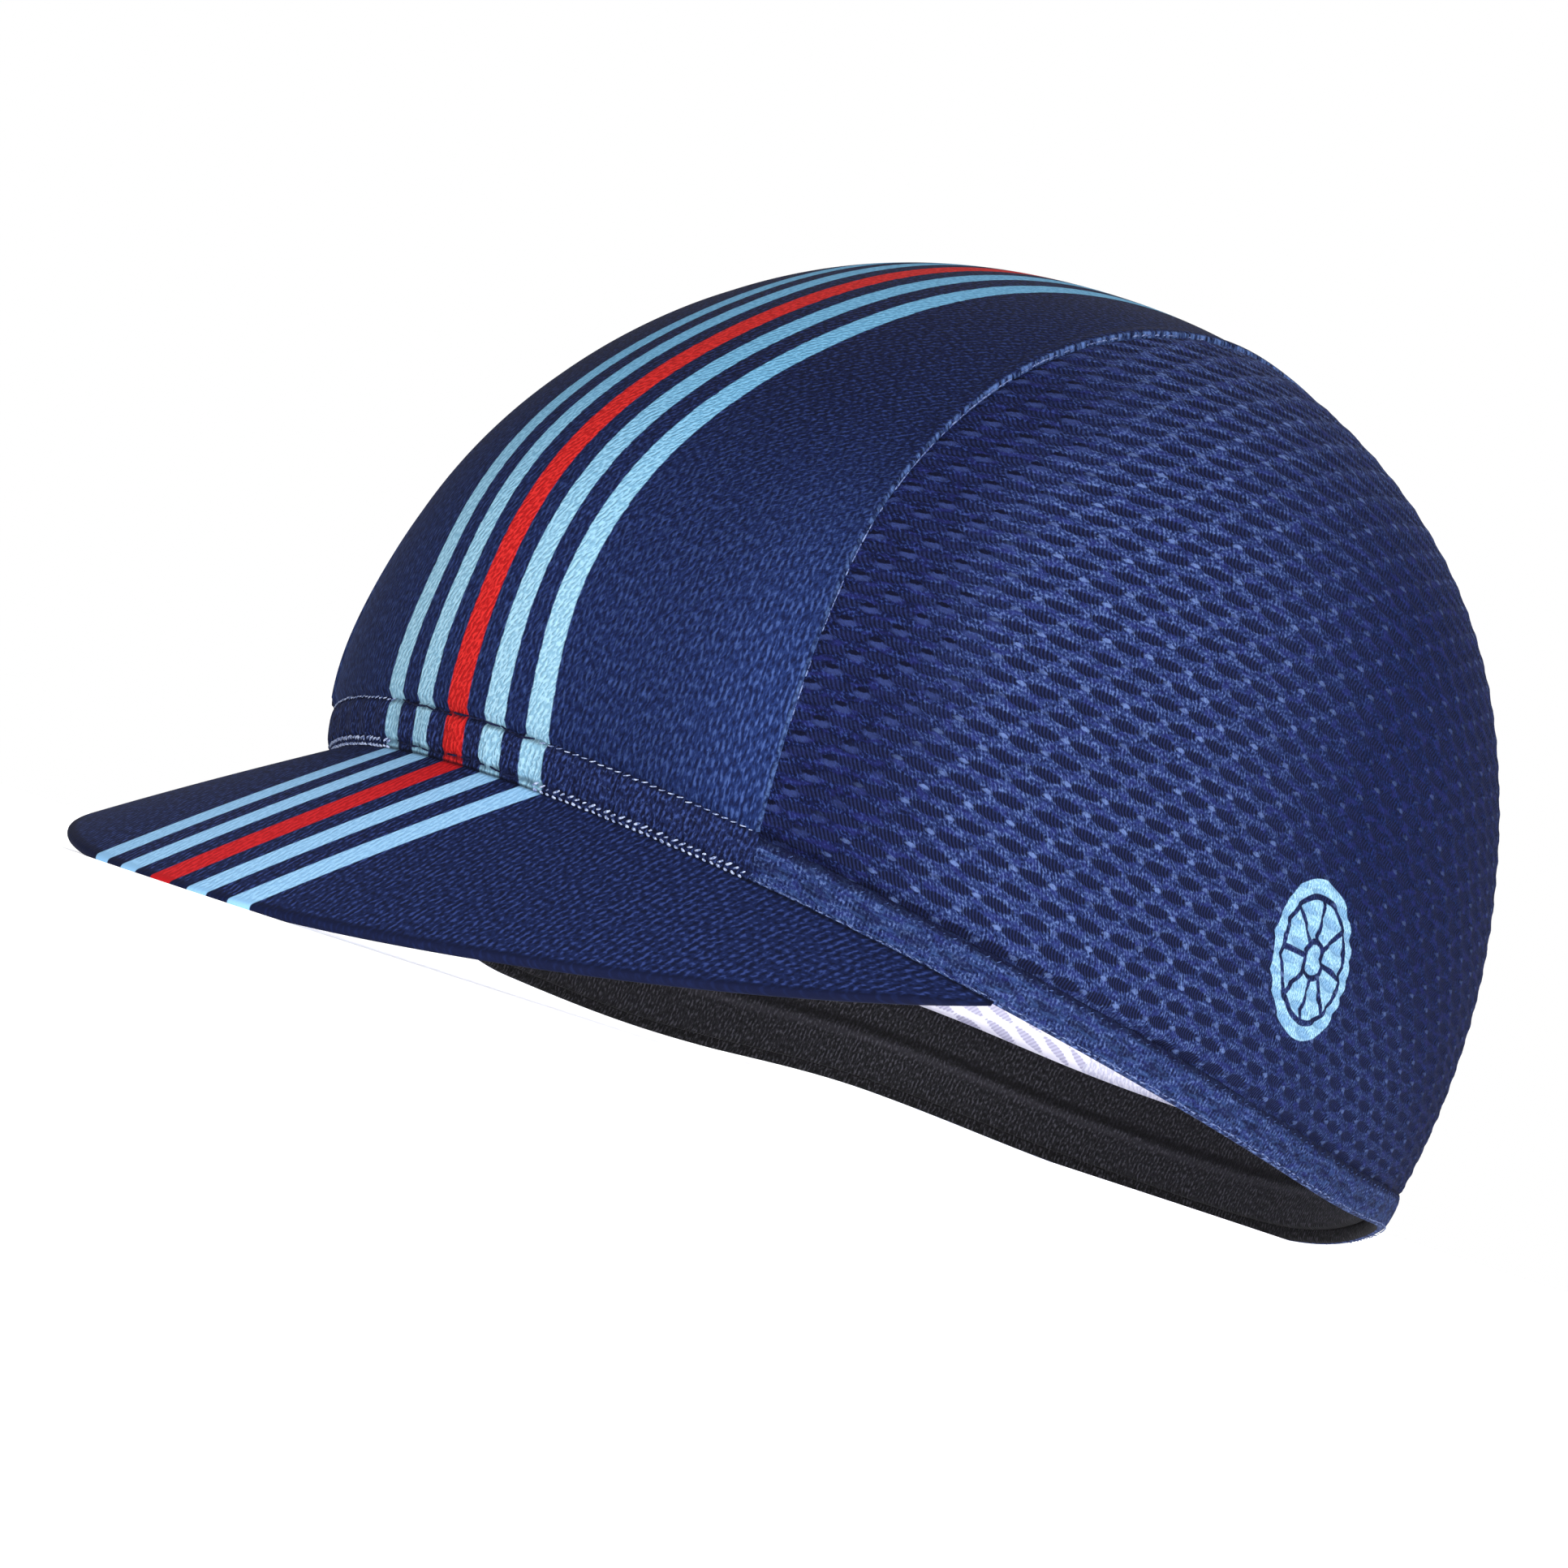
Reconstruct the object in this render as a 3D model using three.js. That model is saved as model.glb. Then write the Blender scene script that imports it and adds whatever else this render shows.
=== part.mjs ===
// A cycling sun hat of thin cloth: a plain panel over the top, a mesh panel at each side, a stitched
// forehead band, a hem round the sides and back, a short stiff peak and an elastic band inside.
// Millimetres, +Z up. The peak looks along -Y and the wearer's left is +X. The hat lies on a level
// surface by itself, on the back of its hem and on the front edge of its peak.
import * as THREE from "three";

// The rim of the crown, measured in the hat's own frame, where the rim lies near z = 0
const RIM_FRONT = 99;
const RIM_BACK = 99;
const RIM_HALF_WIDTH = 78.5;
const RIM_WIDEST_Y = 4.5;
const RIM_SIDE_DIP = 2;
const RIM_REAR_LIFT = 3.5;

// The crown above the rim
const CROWN_HEIGHT = 119.5;
const CROWN_TOP_Y = 11;
const PANEL_THICKNESS = 1.4;

// How much fuller than a plain half ellipsoid the crown is, row by row upwards.
// Lift is the angle up from the rim, 90 at the top of the crown.
const FULLNESS = [
  { lift: 0, front: 1.0, back: 1.0, side: 1.0 },
  { lift: 6, front: 1.05, back: 1.022, side: 1.018 },
  { lift: 14, front: 1.105, back: 1.072, side: 1.016 },
  { lift: 26, front: 1.142, back: 1.138, side: 1.018 },
  { lift: 44, front: 1.126, back: 1.122, side: 1.135 },
  { lift: 65, front: 1.135, back: 1.143, side: 1.235 },
  { lift: 90, front: 1.135, back: 1.143, side: 1.24 },
];

// The seam between the top panel and a side panel, seen from the middle of the side panel's foot.
// Bearing turns from the front (0) over the top (90) to the back (180), and reach is how far the
// seam lies that way, both in degrees of turn and lift.
const SEAM = [
  { bearing: 0, reach: 55 },
  { bearing: 12, reach: 56 },
  { bearing: 21, reach: 58.7 },
  { bearing: 31, reach: 65.8 },
  { bearing: 39, reach: 73 },
  { bearing: 48, reach: 77.8 },
  { bearing: 66, reach: 78.7 },
  { bearing: 90, reach: 76 },
  { bearing: 114, reach: 79.2 },
  { bearing: 133, reach: 80.8 },
  { bearing: 150, reach: 73 },
  { bearing: 165, reach: 67.8 },
  { bearing: 180, reach: 66 },
];
const SEAM_GAP = 0.3;
const LEVEL_ROWS_BELOW = 18;
const STRAIGHT_ROWS_ABOVE = 62;

// The forehead band, the hem and the elastic band, as heights up the crown's surface
const BAND_HEIGHT = 7.3;
const BAND_PROUD = 0.15;
const BAND_BULGE = 1.2;
const HEM_HEIGHT = 6;
const HEM_PROUD = 0.1;
const HEM_BULGE = 0.5;
const CLOTH_GAP = 0.35;
const HEM_DEPTH = 1.7;
const ELASTIC_FOOT = 1.3;
const ELASTIC_HEIGHT = 14;
const ELASTIC_INSET = 2.2;
const ELASTIC_THICKNESS = 1.8;
const ELASTIC_GROOVE = 0.5;
const ELASTIC_GROOVE_AT = 0.62;
const ELASTIC_GROOVE_WIDTH = 0.07;

// The peak: where its ends meet the rim, how far its front edge reaches and drops, and its plate
const PEAK_END_TURN = 59.8;
const PEAK_REACH = 41;
const PEAK_DROP = 36;
const PEAK_CORNER_ROUNDNESS = 0.93;
const PEAK_DROP_ROUNDNESS = 0.91;
const PEAK_CAMBER = 1.2;
const PEAK_THICKNESS = 2.4;
const PEAK_EDGE_THICKNESS = 1.5;
const PEAK_TUCK = 1.4;
const PEAK_ROOT_THICKNESS = 1.9;
const PEAK_END_SHARE = 0.985;

// How far the soft hem and the peak's edge are pressed flat where they rest
const REST_PRESS = 0.7;

// Steps of the meshes
const CENTRE_ROWS = 46;
const CENTRE_COLUMNS = 10;
const SIDE_SPOKES = 40;
const SIDE_RINGS = 12;
const SIDE_RING_CROWDING = 1.3;
const STRIP_ROWS = 4;
const BAND_STEPS = 22;
const HEM_STEPS = 60;
const ELASTIC_STEPS = 64;
const ELASTIC_ROWS = 8;
const PEAK_STEPS = 32;
const PEAK_ROWS = 6;

const radians = THREE.MathUtils.degToRad;
const { smoothstep, lerp } = THREE.MathUtils;
const liftOfHeight = (height) => THREE.MathUtils.radToDeg(Math.asin(height / CROWN_HEIGHT));

// A smooth curve through a table's rows: the natural cubic spline of one column over another
function smoothColumn(table, key, column) {
  const x = table.map((row) => row[key]);
  const y = table.map((row) => row[column]);
  const last = x.length - 1;
  const bend = new Array(x.length).fill(0);
  const share = new Array(x.length).fill(0);
  for (let i = 1; i < last; i++) {
    const before = x[i] - x[i - 1];
    const after = x[i + 1] - x[i];
    const pivot = 2 * (before + after) - before * share[i - 1];
    const rise = 6 * ((y[i + 1] - y[i]) / after - (y[i] - y[i - 1]) / before);
    share[i] = after / pivot;
    bend[i] = (rise - before * bend[i - 1]) / pivot;
  }
  for (let i = last - 1; i > 0; i--) {
    bend[i] -= share[i] * bend[i + 1];
  }
  return (at) => {
    let i = 0;
    while (i < last - 1 && at > x[i + 1]) i++;
    const width = x[i + 1] - x[i];
    const right = (at - x[i]) / width;
    const left = 1 - right;
    const curve = (left ** 3 - left) * bend[i] + (right ** 3 - right) * bend[i + 1];
    return left * y[i] + right * y[i + 1] + (curve * width * width) / 6;
  };
}

const frontFullness = smoothColumn(FULLNESS, "lift", "front");
const backFullness = smoothColumn(FULLNESS, "lift", "back");
const sideFullness = smoothColumn(FULLNESS, "lift", "side");
const seamReach = smoothColumn(SEAM, "bearing", "reach");

// The crown's outer face. Turn goes round from the front (0) past the wearer's left (90) to the
// back (180), and lift goes up from the rim (0) to the top (90), both in degrees.
function crownFace(turn, lift) {
  const ahead = Math.cos(radians(turn));
  const aside = Math.sin(radians(turn));
  const open = Math.cos(radians(lift));
  const high = Math.sin(radians(lift));
  const widest = CROWN_TOP_Y + (RIM_WIDEST_Y - CROWN_TOP_Y) * open;
  const front = CROWN_TOP_Y - (CROWN_TOP_Y + RIM_FRONT) * open * frontFullness(lift);
  const back = CROWN_TOP_Y + (RIM_BACK - CROWN_TOP_Y) * open * backFullness(lift);
  const rearLift = ahead < 0 ? RIM_REAR_LIFT * Math.sin(radians(2 * turn)) ** 4 : 0;
  const sag = rearLift - RIM_SIDE_DIP * aside ** 2;
  return new THREE.Vector3(
    RIM_HALF_WIDTH * open * sideFullness(lift) * aside,
    widest + (ahead > 0 ? front - widest : widest - back) * ahead,
    CROWN_HEIGHT * high + sag * (1 - high),
  );
}

// The same face by degrees aside and ahead of the crown's top, which is smooth at the top too
function crownFromTop(aside, ahead) {
  const turn = THREE.MathUtils.radToDeg(Math.atan2(aside, ahead));
  return crownFace(turn, 90 - Math.hypot(aside, ahead));
}

// A point of the crown, moved in from its outer face by an inset, square to that face
function crownInset(aside, ahead, inset) {
  const step = 0.05;
  const acrossStep = crownFromTop(aside + step, ahead).sub(crownFromTop(aside - step, ahead));
  const alongStep = crownFromTop(aside, ahead + step).sub(crownFromTop(aside, ahead - step));
  const inward = acrossStep.cross(alongStep).normalize();
  return crownFromTop(aside, ahead).addScaledVector(inward, inset);
}

function crownPoint(turn, lift, inset = 0) {
  const away = 90 - lift;
  return crownInset(away * Math.sin(radians(turn)), away * Math.cos(radians(turn)), inset);
}

// The seam's turn and lift at a bearing, pulled back from the true line by a gap in degrees
function seamPlace(bearing, gap = 0) {
  const reach = seamReach(bearing) - gap;
  return {
    turn: 90 - reach * Math.cos(radians(bearing)),
    lift: reach * Math.sin(radians(bearing)),
  };
}

// The bearings at which the seam crosses a lift, in front and at the back
function seamBearing(lift, atBack) {
  let low = 0;
  let high = 60;
  for (let i = 0; i < 40; i++) {
    const middle = (low + high) / 2;
    const bearing = atBack ? 180 - middle : middle;
    if (seamPlace(bearing).lift < lift) low = middle;
    else high = middle;
  }
  return atBack ? 180 - low : low;
}

// Values from first to last whose points lie at equal distances along the curve
function evenSteps(pointAt, first, last, count) {
  const fine = 400;
  const lengths = [0];
  let before = pointAt(first);
  for (let i = 1; i <= fine; i++) {
    const point = pointAt(lerp(first, last, i / fine));
    lengths.push(lengths[i - 1] + point.distanceTo(before));
    before = point;
  }
  const steps = [];
  let i = 0;
  for (let k = 0; k <= count; k++) {
    const wanted = (lengths[fine] * k) / count;
    while (i < fine - 1 && lengths[i + 1] < wanted) i++;
    const share = (wanted - lengths[i]) / (lengths[i + 1] - lengths[i]);
    steps.push(lerp(first, last, (i + share) / fine));
  }
  return steps;
}

// The rest on a level surface: the hat pitches back until the hem's back and the peak's front edge
// are level, and what would dip below the surface is pressed flat on it
const REST_PITCH = Math.atan2(PEAK_DROP, RIM_FRONT + PEAK_REACH + RIM_BACK);

function settle(point) {
  const up = point.z * Math.cos(REST_PITCH) + (RIM_BACK - point.y) * Math.sin(REST_PITCH);
  const back = point.y * Math.cos(REST_PITCH) + point.z * Math.sin(REST_PITCH);
  return new THREE.Vector3(point.x, back, Math.max(0, up - REST_PRESS));
}

// A closed body between two grids of points, an outer and an inner face, with walls along the
// open borders. Points that coincide are shared, and a triangle with no area is left out.
function closedSheet(outer, inner, wraps = false) {
  const positions = [];
  const known = new Map();
  const indexOf = (point) => {
    const settled = settle(point);
    const key = settled.toArray().map((value) => Math.round(value * 1e4)).join();
    if (!known.has(key)) {
      known.set(key, positions.length / 3);
      positions.push(settled.x, settled.y, settled.z);
    }
    return known.get(key);
  };
  const triangles = [];
  const addTriangle = (a, b, c) => {
    if (a !== b && b !== c && c !== a) triangles.push(a, b, c);
  };
  const addQuad = (a, b, c, d) => {
    const [ia, ib, ic, id] = [a, b, c, d].map(indexOf);
    addTriangle(ia, ib, ic);
    addTriangle(ia, ic, id);
  };
  const rows = outer.length;
  const columns = outer[0].length;
  const rowPairs = wraps ? rows : rows - 1;
  for (let i = 0; i < rowPairs; i++) {
    const next = (i + 1) % rows;
    for (let j = 0; j < columns - 1; j++) {
      addQuad(outer[i][j], outer[next][j], outer[next][j + 1], outer[i][j + 1]);
      addQuad(inner[i][j], inner[i][j + 1], inner[next][j + 1], inner[next][j]);
    }
    const end = columns - 1;
    addQuad(outer[i][0], inner[i][0], inner[next][0], outer[next][0]);
    addQuad(outer[i][end], outer[next][end], inner[next][end], inner[i][end]);
  }
  if (!wraps) {
    const end = rows - 1;
    for (let j = 0; j < columns - 1; j++) {
      addQuad(outer[0][j], outer[0][j + 1], inner[0][j + 1], inner[0][j]);
      addQuad(outer[end][j], inner[end][j], inner[end][j + 1], outer[end][j + 1]);
    }
  }
  return bodyOf(positions, triangles);
}

// A geometry of shared points, with its faces turned to point out
function bodyOf(positions, triangles) {
  const corner = (index) => new THREE.Vector3().fromArray(positions, 3 * index);
  let volume = 0;
  for (let i = 0; i < triangles.length; i += 3) {
    const [a, b, c] = triangles.slice(i, i + 3).map(corner);
    volume += a.dot(b.cross(c));
  }
  const faces = volume > 0 ? triangles : [...triangles].reverse();
  const geometry = new THREE.BufferGeometry();
  geometry.setAttribute("position", new THREE.Float32BufferAttribute(positions, 3));
  geometry.setIndex(faces);
  geometry.computeVertexNormals();
  return geometry;
}

// A strip that runs round the rim from one turn to another, between two heights up the crown.
// The inset functions give its outer and inner face by the share of its height.
function rimStrip({ from, to, steps, foot, top, outerInset, innerInset, rows, wraps }) {
  const outer = [];
  const inner = [];
  const stations = wraps ? steps : steps + 1;
  for (let i = 0; i < stations; i++) {
    const turn = lerp(from, to, i / steps);
    const shares = Array.from({ length: rows + 1 }, (_, j) => j / rows);
    const lifts = shares.map((share) => liftOfHeight(lerp(foot, top, share)));
    outer.push(lifts.map((lift, j) => crownPoint(turn, lift, outerInset(shares[j]))));
    inner.push(lifts.map((lift, j) => crownPoint(turn, lift, innerInset(shares[j]))));
  }
  return closedSheet(outer, inner, wraps);
}

const bandFoot = liftOfHeight(BAND_HEIGHT + CLOTH_GAP);
const hemFoot = liftOfHeight(HEM_HEIGHT + CLOTH_GAP);
const bandEndTurn = seamPlace(seamBearing(bandFoot, false)).turn;

// The plain panel over the top. Each row joins the two seams: level near the forehead and the nape,
// straight across at the top, and a blend of the two between.
function centrePanel() {
  const seamPoint = (bearing) => {
    const { turn, lift } = seamPlace(bearing);
    return crownPoint(turn, lift);
  };
  const first = seamBearing(bandFoot, false);
  const last = seamBearing(hemFoot, true);
  const bearings = evenSteps(seamPoint, first, last, CENTRE_ROWS);
  const outer = [];
  const inner = [];
  for (const bearing of bearings) {
    const { turn, lift } = seamPlace(bearing);
    const away = 90 - lift;
    const straight = smoothstep(lift, LEVEL_ROWS_BELOW, STRAIGHT_ROWS_ABOVE);
    const facing = bearing < 90 ? 1 : -1;
    const sweep = facing > 0 ? turn : 180 - turn;
    const outerRow = [];
    const innerRow = [];
    for (let j = 0; j <= CENTRE_COLUMNS; j++) {
      const across = lerp(-1, 1, j / CENTRE_COLUMNS);
      const levelAside = away * Math.sin(radians(across * sweep));
      const levelAhead = away * Math.cos(radians(across * sweep));
      const aside = lerp(levelAside, across * away * Math.sin(radians(sweep)), straight);
      const ahead = facing * lerp(levelAhead, away * Math.cos(radians(sweep)), straight);
      outerRow.push(crownInset(aside, ahead, 0));
      innerRow.push(crownInset(aside, ahead, PANEL_THICKNESS));
    }
    outer.push(outerRow);
    inner.push(innerRow);
  }
  return closedSheet(outer, inner);
}

// A mesh side panel: spokes from the middle of its foot out to the seam. Side is 1 on the
// wearer's left and -1 on the right.
function sidePanel(side) {
  const seamPoint = (bearing) => {
    const { turn, lift } = seamPlace(bearing, SEAM_GAP);
    return crownPoint(turn, lift);
  };
  const first = seamBearing(hemFoot, false);
  const last = seamBearing(hemFoot, true);
  const outer = [];
  const inner = [];
  for (const bearing of evenSteps(seamPoint, first, last, SIDE_SPOKES)) {
    const end = seamPlace(bearing, SEAM_GAP);
    const outerSpoke = [];
    const innerSpoke = [];
    for (let j = 0; j <= SIDE_RINGS; j++) {
      const share = (j / SIDE_RINGS) ** SIDE_RING_CROWDING;
      const turn = side * lerp(90, end.turn, share);
      const lift = Math.max(hemFoot, lerp(hemFoot, end.lift, share));
      outerSpoke.push(crownPoint(turn, lift, 0));
      innerSpoke.push(crownPoint(turn, lift, PANEL_THICKNESS));
    }
    outer.push(outerSpoke);
    inner.push(innerSpoke);
  }
  return closedSheet(outer, inner);
}

// The forehead band swells between its two rows of stitches
function foreheadBand() {
  return rimStrip({
    from: -bandEndTurn + SEAM_GAP,
    to: bandEndTurn - SEAM_GAP,
    steps: BAND_STEPS,
    foot: 0,
    top: BAND_HEIGHT,
    outerInset: (share) => -BAND_PROUD - BAND_BULGE * Math.sin(Math.PI * share),
    innerInset: () => HEM_DEPTH,
    rows: STRIP_ROWS,
  });
}

// The hem runs from one end of the forehead band round the back to the other
function rimHem() {
  return rimStrip({
    from: bandEndTurn,
    to: 360 - bandEndTurn,
    steps: HEM_STEPS,
    foot: 0,
    top: HEM_HEIGHT,
    outerInset: (share) => -HEM_PROUD - HEM_BULGE * Math.sin(Math.PI * share),
    innerInset: () => HEM_DEPTH,
    rows: STRIP_ROWS,
  });
}

// The elastic band inside the rim, two ribs with a groove between them
function elasticBand() {
  const groove = (share) => Math.exp(-(((share - ELASTIC_GROOVE_AT) / ELASTIC_GROOVE_WIDTH) ** 2));
  return rimStrip({
    from: 0,
    to: 360,
    steps: ELASTIC_STEPS,
    foot: ELASTIC_FOOT,
    top: ELASTIC_FOOT + ELASTIC_HEIGHT,
    outerInset: () => ELASTIC_INSET,
    innerInset: (share) => ELASTIC_INSET + ELASTIC_THICKNESS - ELASTIC_GROOVE * groove(share),
    rows: ELASTIC_ROWS,
    wraps: true,
  });
}

// The lower line of the peak's front edge, from the wearer's right end (-1) to the left end (1)
function peakEdge(along) {
  const end = crownPoint(PEAK_END_TURN, 0);
  const ahead = Math.max(0, Math.cos((Math.PI / 2) * along));
  const aside = Math.abs(Math.sin((Math.PI / 2) * along));
  return new THREE.Vector3(
    Math.sign(along) * end.x * aside ** PEAK_CORNER_ROUNDNESS,
    end.y - (RIM_FRONT + PEAK_REACH + end.y) * ahead ** PEAK_CORNER_ROUNDNESS,
    end.z - (PEAK_DROP + end.z) * ahead ** PEAK_DROP_ROUNDNESS,
  );
}

// The peak: a thin plate, tucked under the rim, that slopes down and out to its front edge
function peak() {
  const under = new THREE.Vector3(0, 0, -CLOTH_GAP);
  const upper = [];
  const lower = [];
  for (let i = 0; i <= PEAK_STEPS; i++) {
    const along = PEAK_END_SHARE * lerp(-1, 1, i / PEAK_STEPS);
    const turn = PEAK_END_TURN * along;
    const root = crownPoint(turn, 0).add(under);
    const tuck = crownPoint(turn, 0, PEAK_TUCK).setZ(root.z);
    const edge = peakEdge(along);
    const slope = edge.clone().sub(root);
    const reach = slope.length();
    const sideways = new THREE.Vector3(Math.cos(radians(turn)), Math.sin(radians(turn)), 0);
    const normal = sideways.cross(slope).normalize();
    if (normal.z < 0) normal.negate();
    const upperRow = [tuck];
    const lowerRow = [tuck.clone().setZ(root.z - PEAK_ROOT_THICKNESS)];
    for (let j = 0; j <= PEAK_ROWS; j++) {
      const out = j / PEAK_ROWS;
      const camber = PEAK_CAMBER * 4 * out * (1 - out) * Math.min(1, reach / PEAK_REACH);
      const thickness = lerp(PEAK_THICKNESS, PEAK_EDGE_THICKNESS, out);
      const above = camber + PEAK_EDGE_THICKNESS * out;
      const point = root.clone().addScaledVector(slope, out).addScaledVector(normal, above);
      upperRow.push(point);
      lowerRow.push(point.clone().addScaledVector(normal, -thickness));
    }
    upper.push(upperRow);
    lower.push(lowerRow);
  }
  return closedSheet(upper, lower);
}

function cloth(colour, roughness) {
  return new THREE.MeshStandardMaterial({ color: colour, roughness, metalness: 0 });
}

const plainCloth = cloth(0x1f2c5e, 0.85);
const meshCloth = cloth(0x2a3a80, 0.8);
const peakCloth = cloth(0x1d2a5c, 0.8);
const elastic = cloth(0x232325, 0.9);

const pieces = [
  ["centre_panel", centrePanel(), plainCloth],
  ["side_panel_left", sidePanel(1), meshCloth],
  ["side_panel_right", sidePanel(-1), meshCloth],
  ["forehead_band", foreheadBand(), plainCloth],
  ["rim_hem", rimHem(), plainCloth],
  ["elastic_band", elasticBand(), elastic],
  ["peak", peak(), peakCloth],
];

const hat = new THREE.Group();
for (const [name, geometry, material] of pieces) {
  const mesh = new THREE.Mesh(geometry, material);
  mesh.name = name;
  hat.add(mesh);
}

// The origin is on the surface under the middle of the whole hat
const middle = new THREE.Box3().setFromObject(hat).getCenter(new THREE.Vector3());
hat.position.set(0, -middle.y, 0);

export default hat;
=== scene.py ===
# The looks of a cloth cycling cap: knitted top panel with stripes, dimpled mesh sides, stitched
# forehead band and hem, black elastic inside the rim and a short twill peak. Metres, +Z up.
# The peak points along -Y and the wearer's left is +X.
import math

import bpy
import numpy as np
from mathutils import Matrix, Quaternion, Vector


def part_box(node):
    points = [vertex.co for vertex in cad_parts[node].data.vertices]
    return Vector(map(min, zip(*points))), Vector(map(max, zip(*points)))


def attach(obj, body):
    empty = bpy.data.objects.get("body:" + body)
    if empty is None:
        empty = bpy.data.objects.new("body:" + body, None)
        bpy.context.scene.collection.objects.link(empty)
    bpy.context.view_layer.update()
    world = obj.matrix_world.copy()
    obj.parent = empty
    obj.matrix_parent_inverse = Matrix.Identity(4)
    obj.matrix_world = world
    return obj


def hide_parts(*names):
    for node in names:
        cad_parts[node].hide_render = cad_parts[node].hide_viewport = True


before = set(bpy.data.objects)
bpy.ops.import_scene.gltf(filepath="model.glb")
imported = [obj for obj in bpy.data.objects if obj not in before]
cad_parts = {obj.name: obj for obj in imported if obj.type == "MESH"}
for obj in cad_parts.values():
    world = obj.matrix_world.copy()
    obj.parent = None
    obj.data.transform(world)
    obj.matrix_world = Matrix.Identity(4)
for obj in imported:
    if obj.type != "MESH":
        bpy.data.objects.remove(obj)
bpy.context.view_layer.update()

# The crown's form, the same as in the solids, in the cap's own frame with its rim near z = 0
RIM_FRONT = 0.099
RIM_BACK = 0.099
RIM_HALF_WIDTH = 0.0785
RIM_WIDEST_Y = 0.0045
RIM_SIDE_DIP = 0.002
RIM_REAR_LIFT = 0.0035
CROWN_HEIGHT = 0.1195
CROWN_TOP_Y = 0.011
PANEL_THICKNESS = 0.0014

# How much fuller than a half ellipsoid the crown is, by lift in degrees up from the rim
FULLNESS = (
    {"lift": 0, "front": 1.0, "back": 1.0, "side": 1.0},
    {"lift": 6, "front": 1.05, "back": 1.022, "side": 1.018},
    {"lift": 14, "front": 1.105, "back": 1.072, "side": 1.016},
    {"lift": 26, "front": 1.142, "back": 1.138, "side": 1.018},
    {"lift": 44, "front": 1.126, "back": 1.122, "side": 1.135},
    {"lift": 65, "front": 1.135, "back": 1.143, "side": 1.235},
    {"lift": 90, "front": 1.135, "back": 1.143, "side": 1.24},
)

# The seam of a side panel by bearing and reach, in degrees, from the middle of the panel's foot
SEAM = (
    {"bearing": 0, "reach": 55},
    {"bearing": 12, "reach": 56},
    {"bearing": 21, "reach": 58.7},
    {"bearing": 31, "reach": 65.8},
    {"bearing": 39, "reach": 73},
    {"bearing": 48, "reach": 77.8},
    {"bearing": 66, "reach": 78.7},
    {"bearing": 90, "reach": 76},
    {"bearing": 114, "reach": 79.2},
    {"bearing": 133, "reach": 80.8},
    {"bearing": 150, "reach": 73},
    {"bearing": 165, "reach": 67.8},
    {"bearing": 180, "reach": 66},
)
SEAM_TUCK_DEGREES = 0.18
SEAM_LIP = 0.0005
SEAM_LIP_WIDTH = 0.0022
SEAM_ROUNDING = 0.0007
SEAM_DIP = 0.0005
SEAM_DIP_WIDTH = 0.0016
HEM_GROOVE = 0.0004
HEM_GROOVE_WIDTH = 0.0018
METRES_PER_DEGREE = 0.0017
MESH_INSIDE_DIMPLE = 0.0002

# The top panel's grid: its rows run level below one lift and straight across above another
CENTRE_ROWS = 300
CENTRE_COLUMNS = 96
CENTRE_EDGE_POINTS = 3
COLUMN_CROWDING = 0.38
LEVEL_ROWS_BELOW = 18
STRAIGHT_ROWS_ABOVE = 62

# Soft swelling of the cloth, by turn and lift in degrees
GATHER_DEPTH = 0.00028
GATHER_WAVES = (
    {"count": 13, "start": 0, "share": 1.0},
    {"count": 21, "start": 40, "share": 0.6},
)
SLOW_SWELL = 0.0004
FRONT_PUFF = 0.0015

# The band, the hem and the elastic, as heights up the crown
BAND_HEIGHT = 0.0073
HEM_HEIGHT = 0.006
HEM_DEPTH = 0.0017
BAND_UNDER_PANEL = 0.0012
HEM_UNDER_PANEL = 0.0010
STRIP_MARGIN = 0.0003
ELASTIC_FOOT = 0.0013
ELASTIC_HEIGHT = 0.014
ELASTIC_INSET = 0.0022
ELASTIC_THICKNESS = 0.0018
ELASTIC_GROOVE = 0.0008
ELASTIC_GROOVE_AT = 0.55
BAND_STITCH_ROWS = (0.17, 0.93)
HEM_STITCH_ROWS = (0.9,)
STITCH_PITCH = 0.0028
STITCH_HOLE_SHARE = 0.45
STITCH_GROOVE_SHARE = 0.075
STRIPS = {
    "forehead_band": {"piece": "forehead_band_cloth", "slot": "plain_knit", "stations": 300,
                      "around": 44, "squareness": 3.0, "foot": 0, "height": BAND_HEIGHT + STRIP_MARGIN,
                      "outset": 0.0014, "inset": HEM_DEPTH, "pucker": 0.00018, "pucker_pitch": 0.0061,
                      "stitch_rows": BAND_STITCH_ROWS, "stitch_depth": 0.0007},
    "rim_hem": {"piece": "rim_hem_cloth", "slot": "plain_knit", "stations": 720,
                "around": 36, "squareness": 3.2, "foot": 0, "height": HEM_HEIGHT + STRIP_MARGIN,
                "outset": 0.0004, "inset": HEM_DEPTH, "pucker": 0.00012, "pucker_pitch": 0.0083,
                "stitch_rows": HEM_STITCH_ROWS, "stitch_depth": 0.00035},
    "elastic_band": {"piece": "elastic_band_knit", "slot": "black_elastic", "stations": 560,
                     "around": 56, "squareness": 5.0, "foot": ELASTIC_FOOT, "height": ELASTIC_HEIGHT,
                     "outset": -ELASTIC_INSET, "inset": ELASTIC_INSET + ELASTIC_THICKNESS},
}

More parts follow.
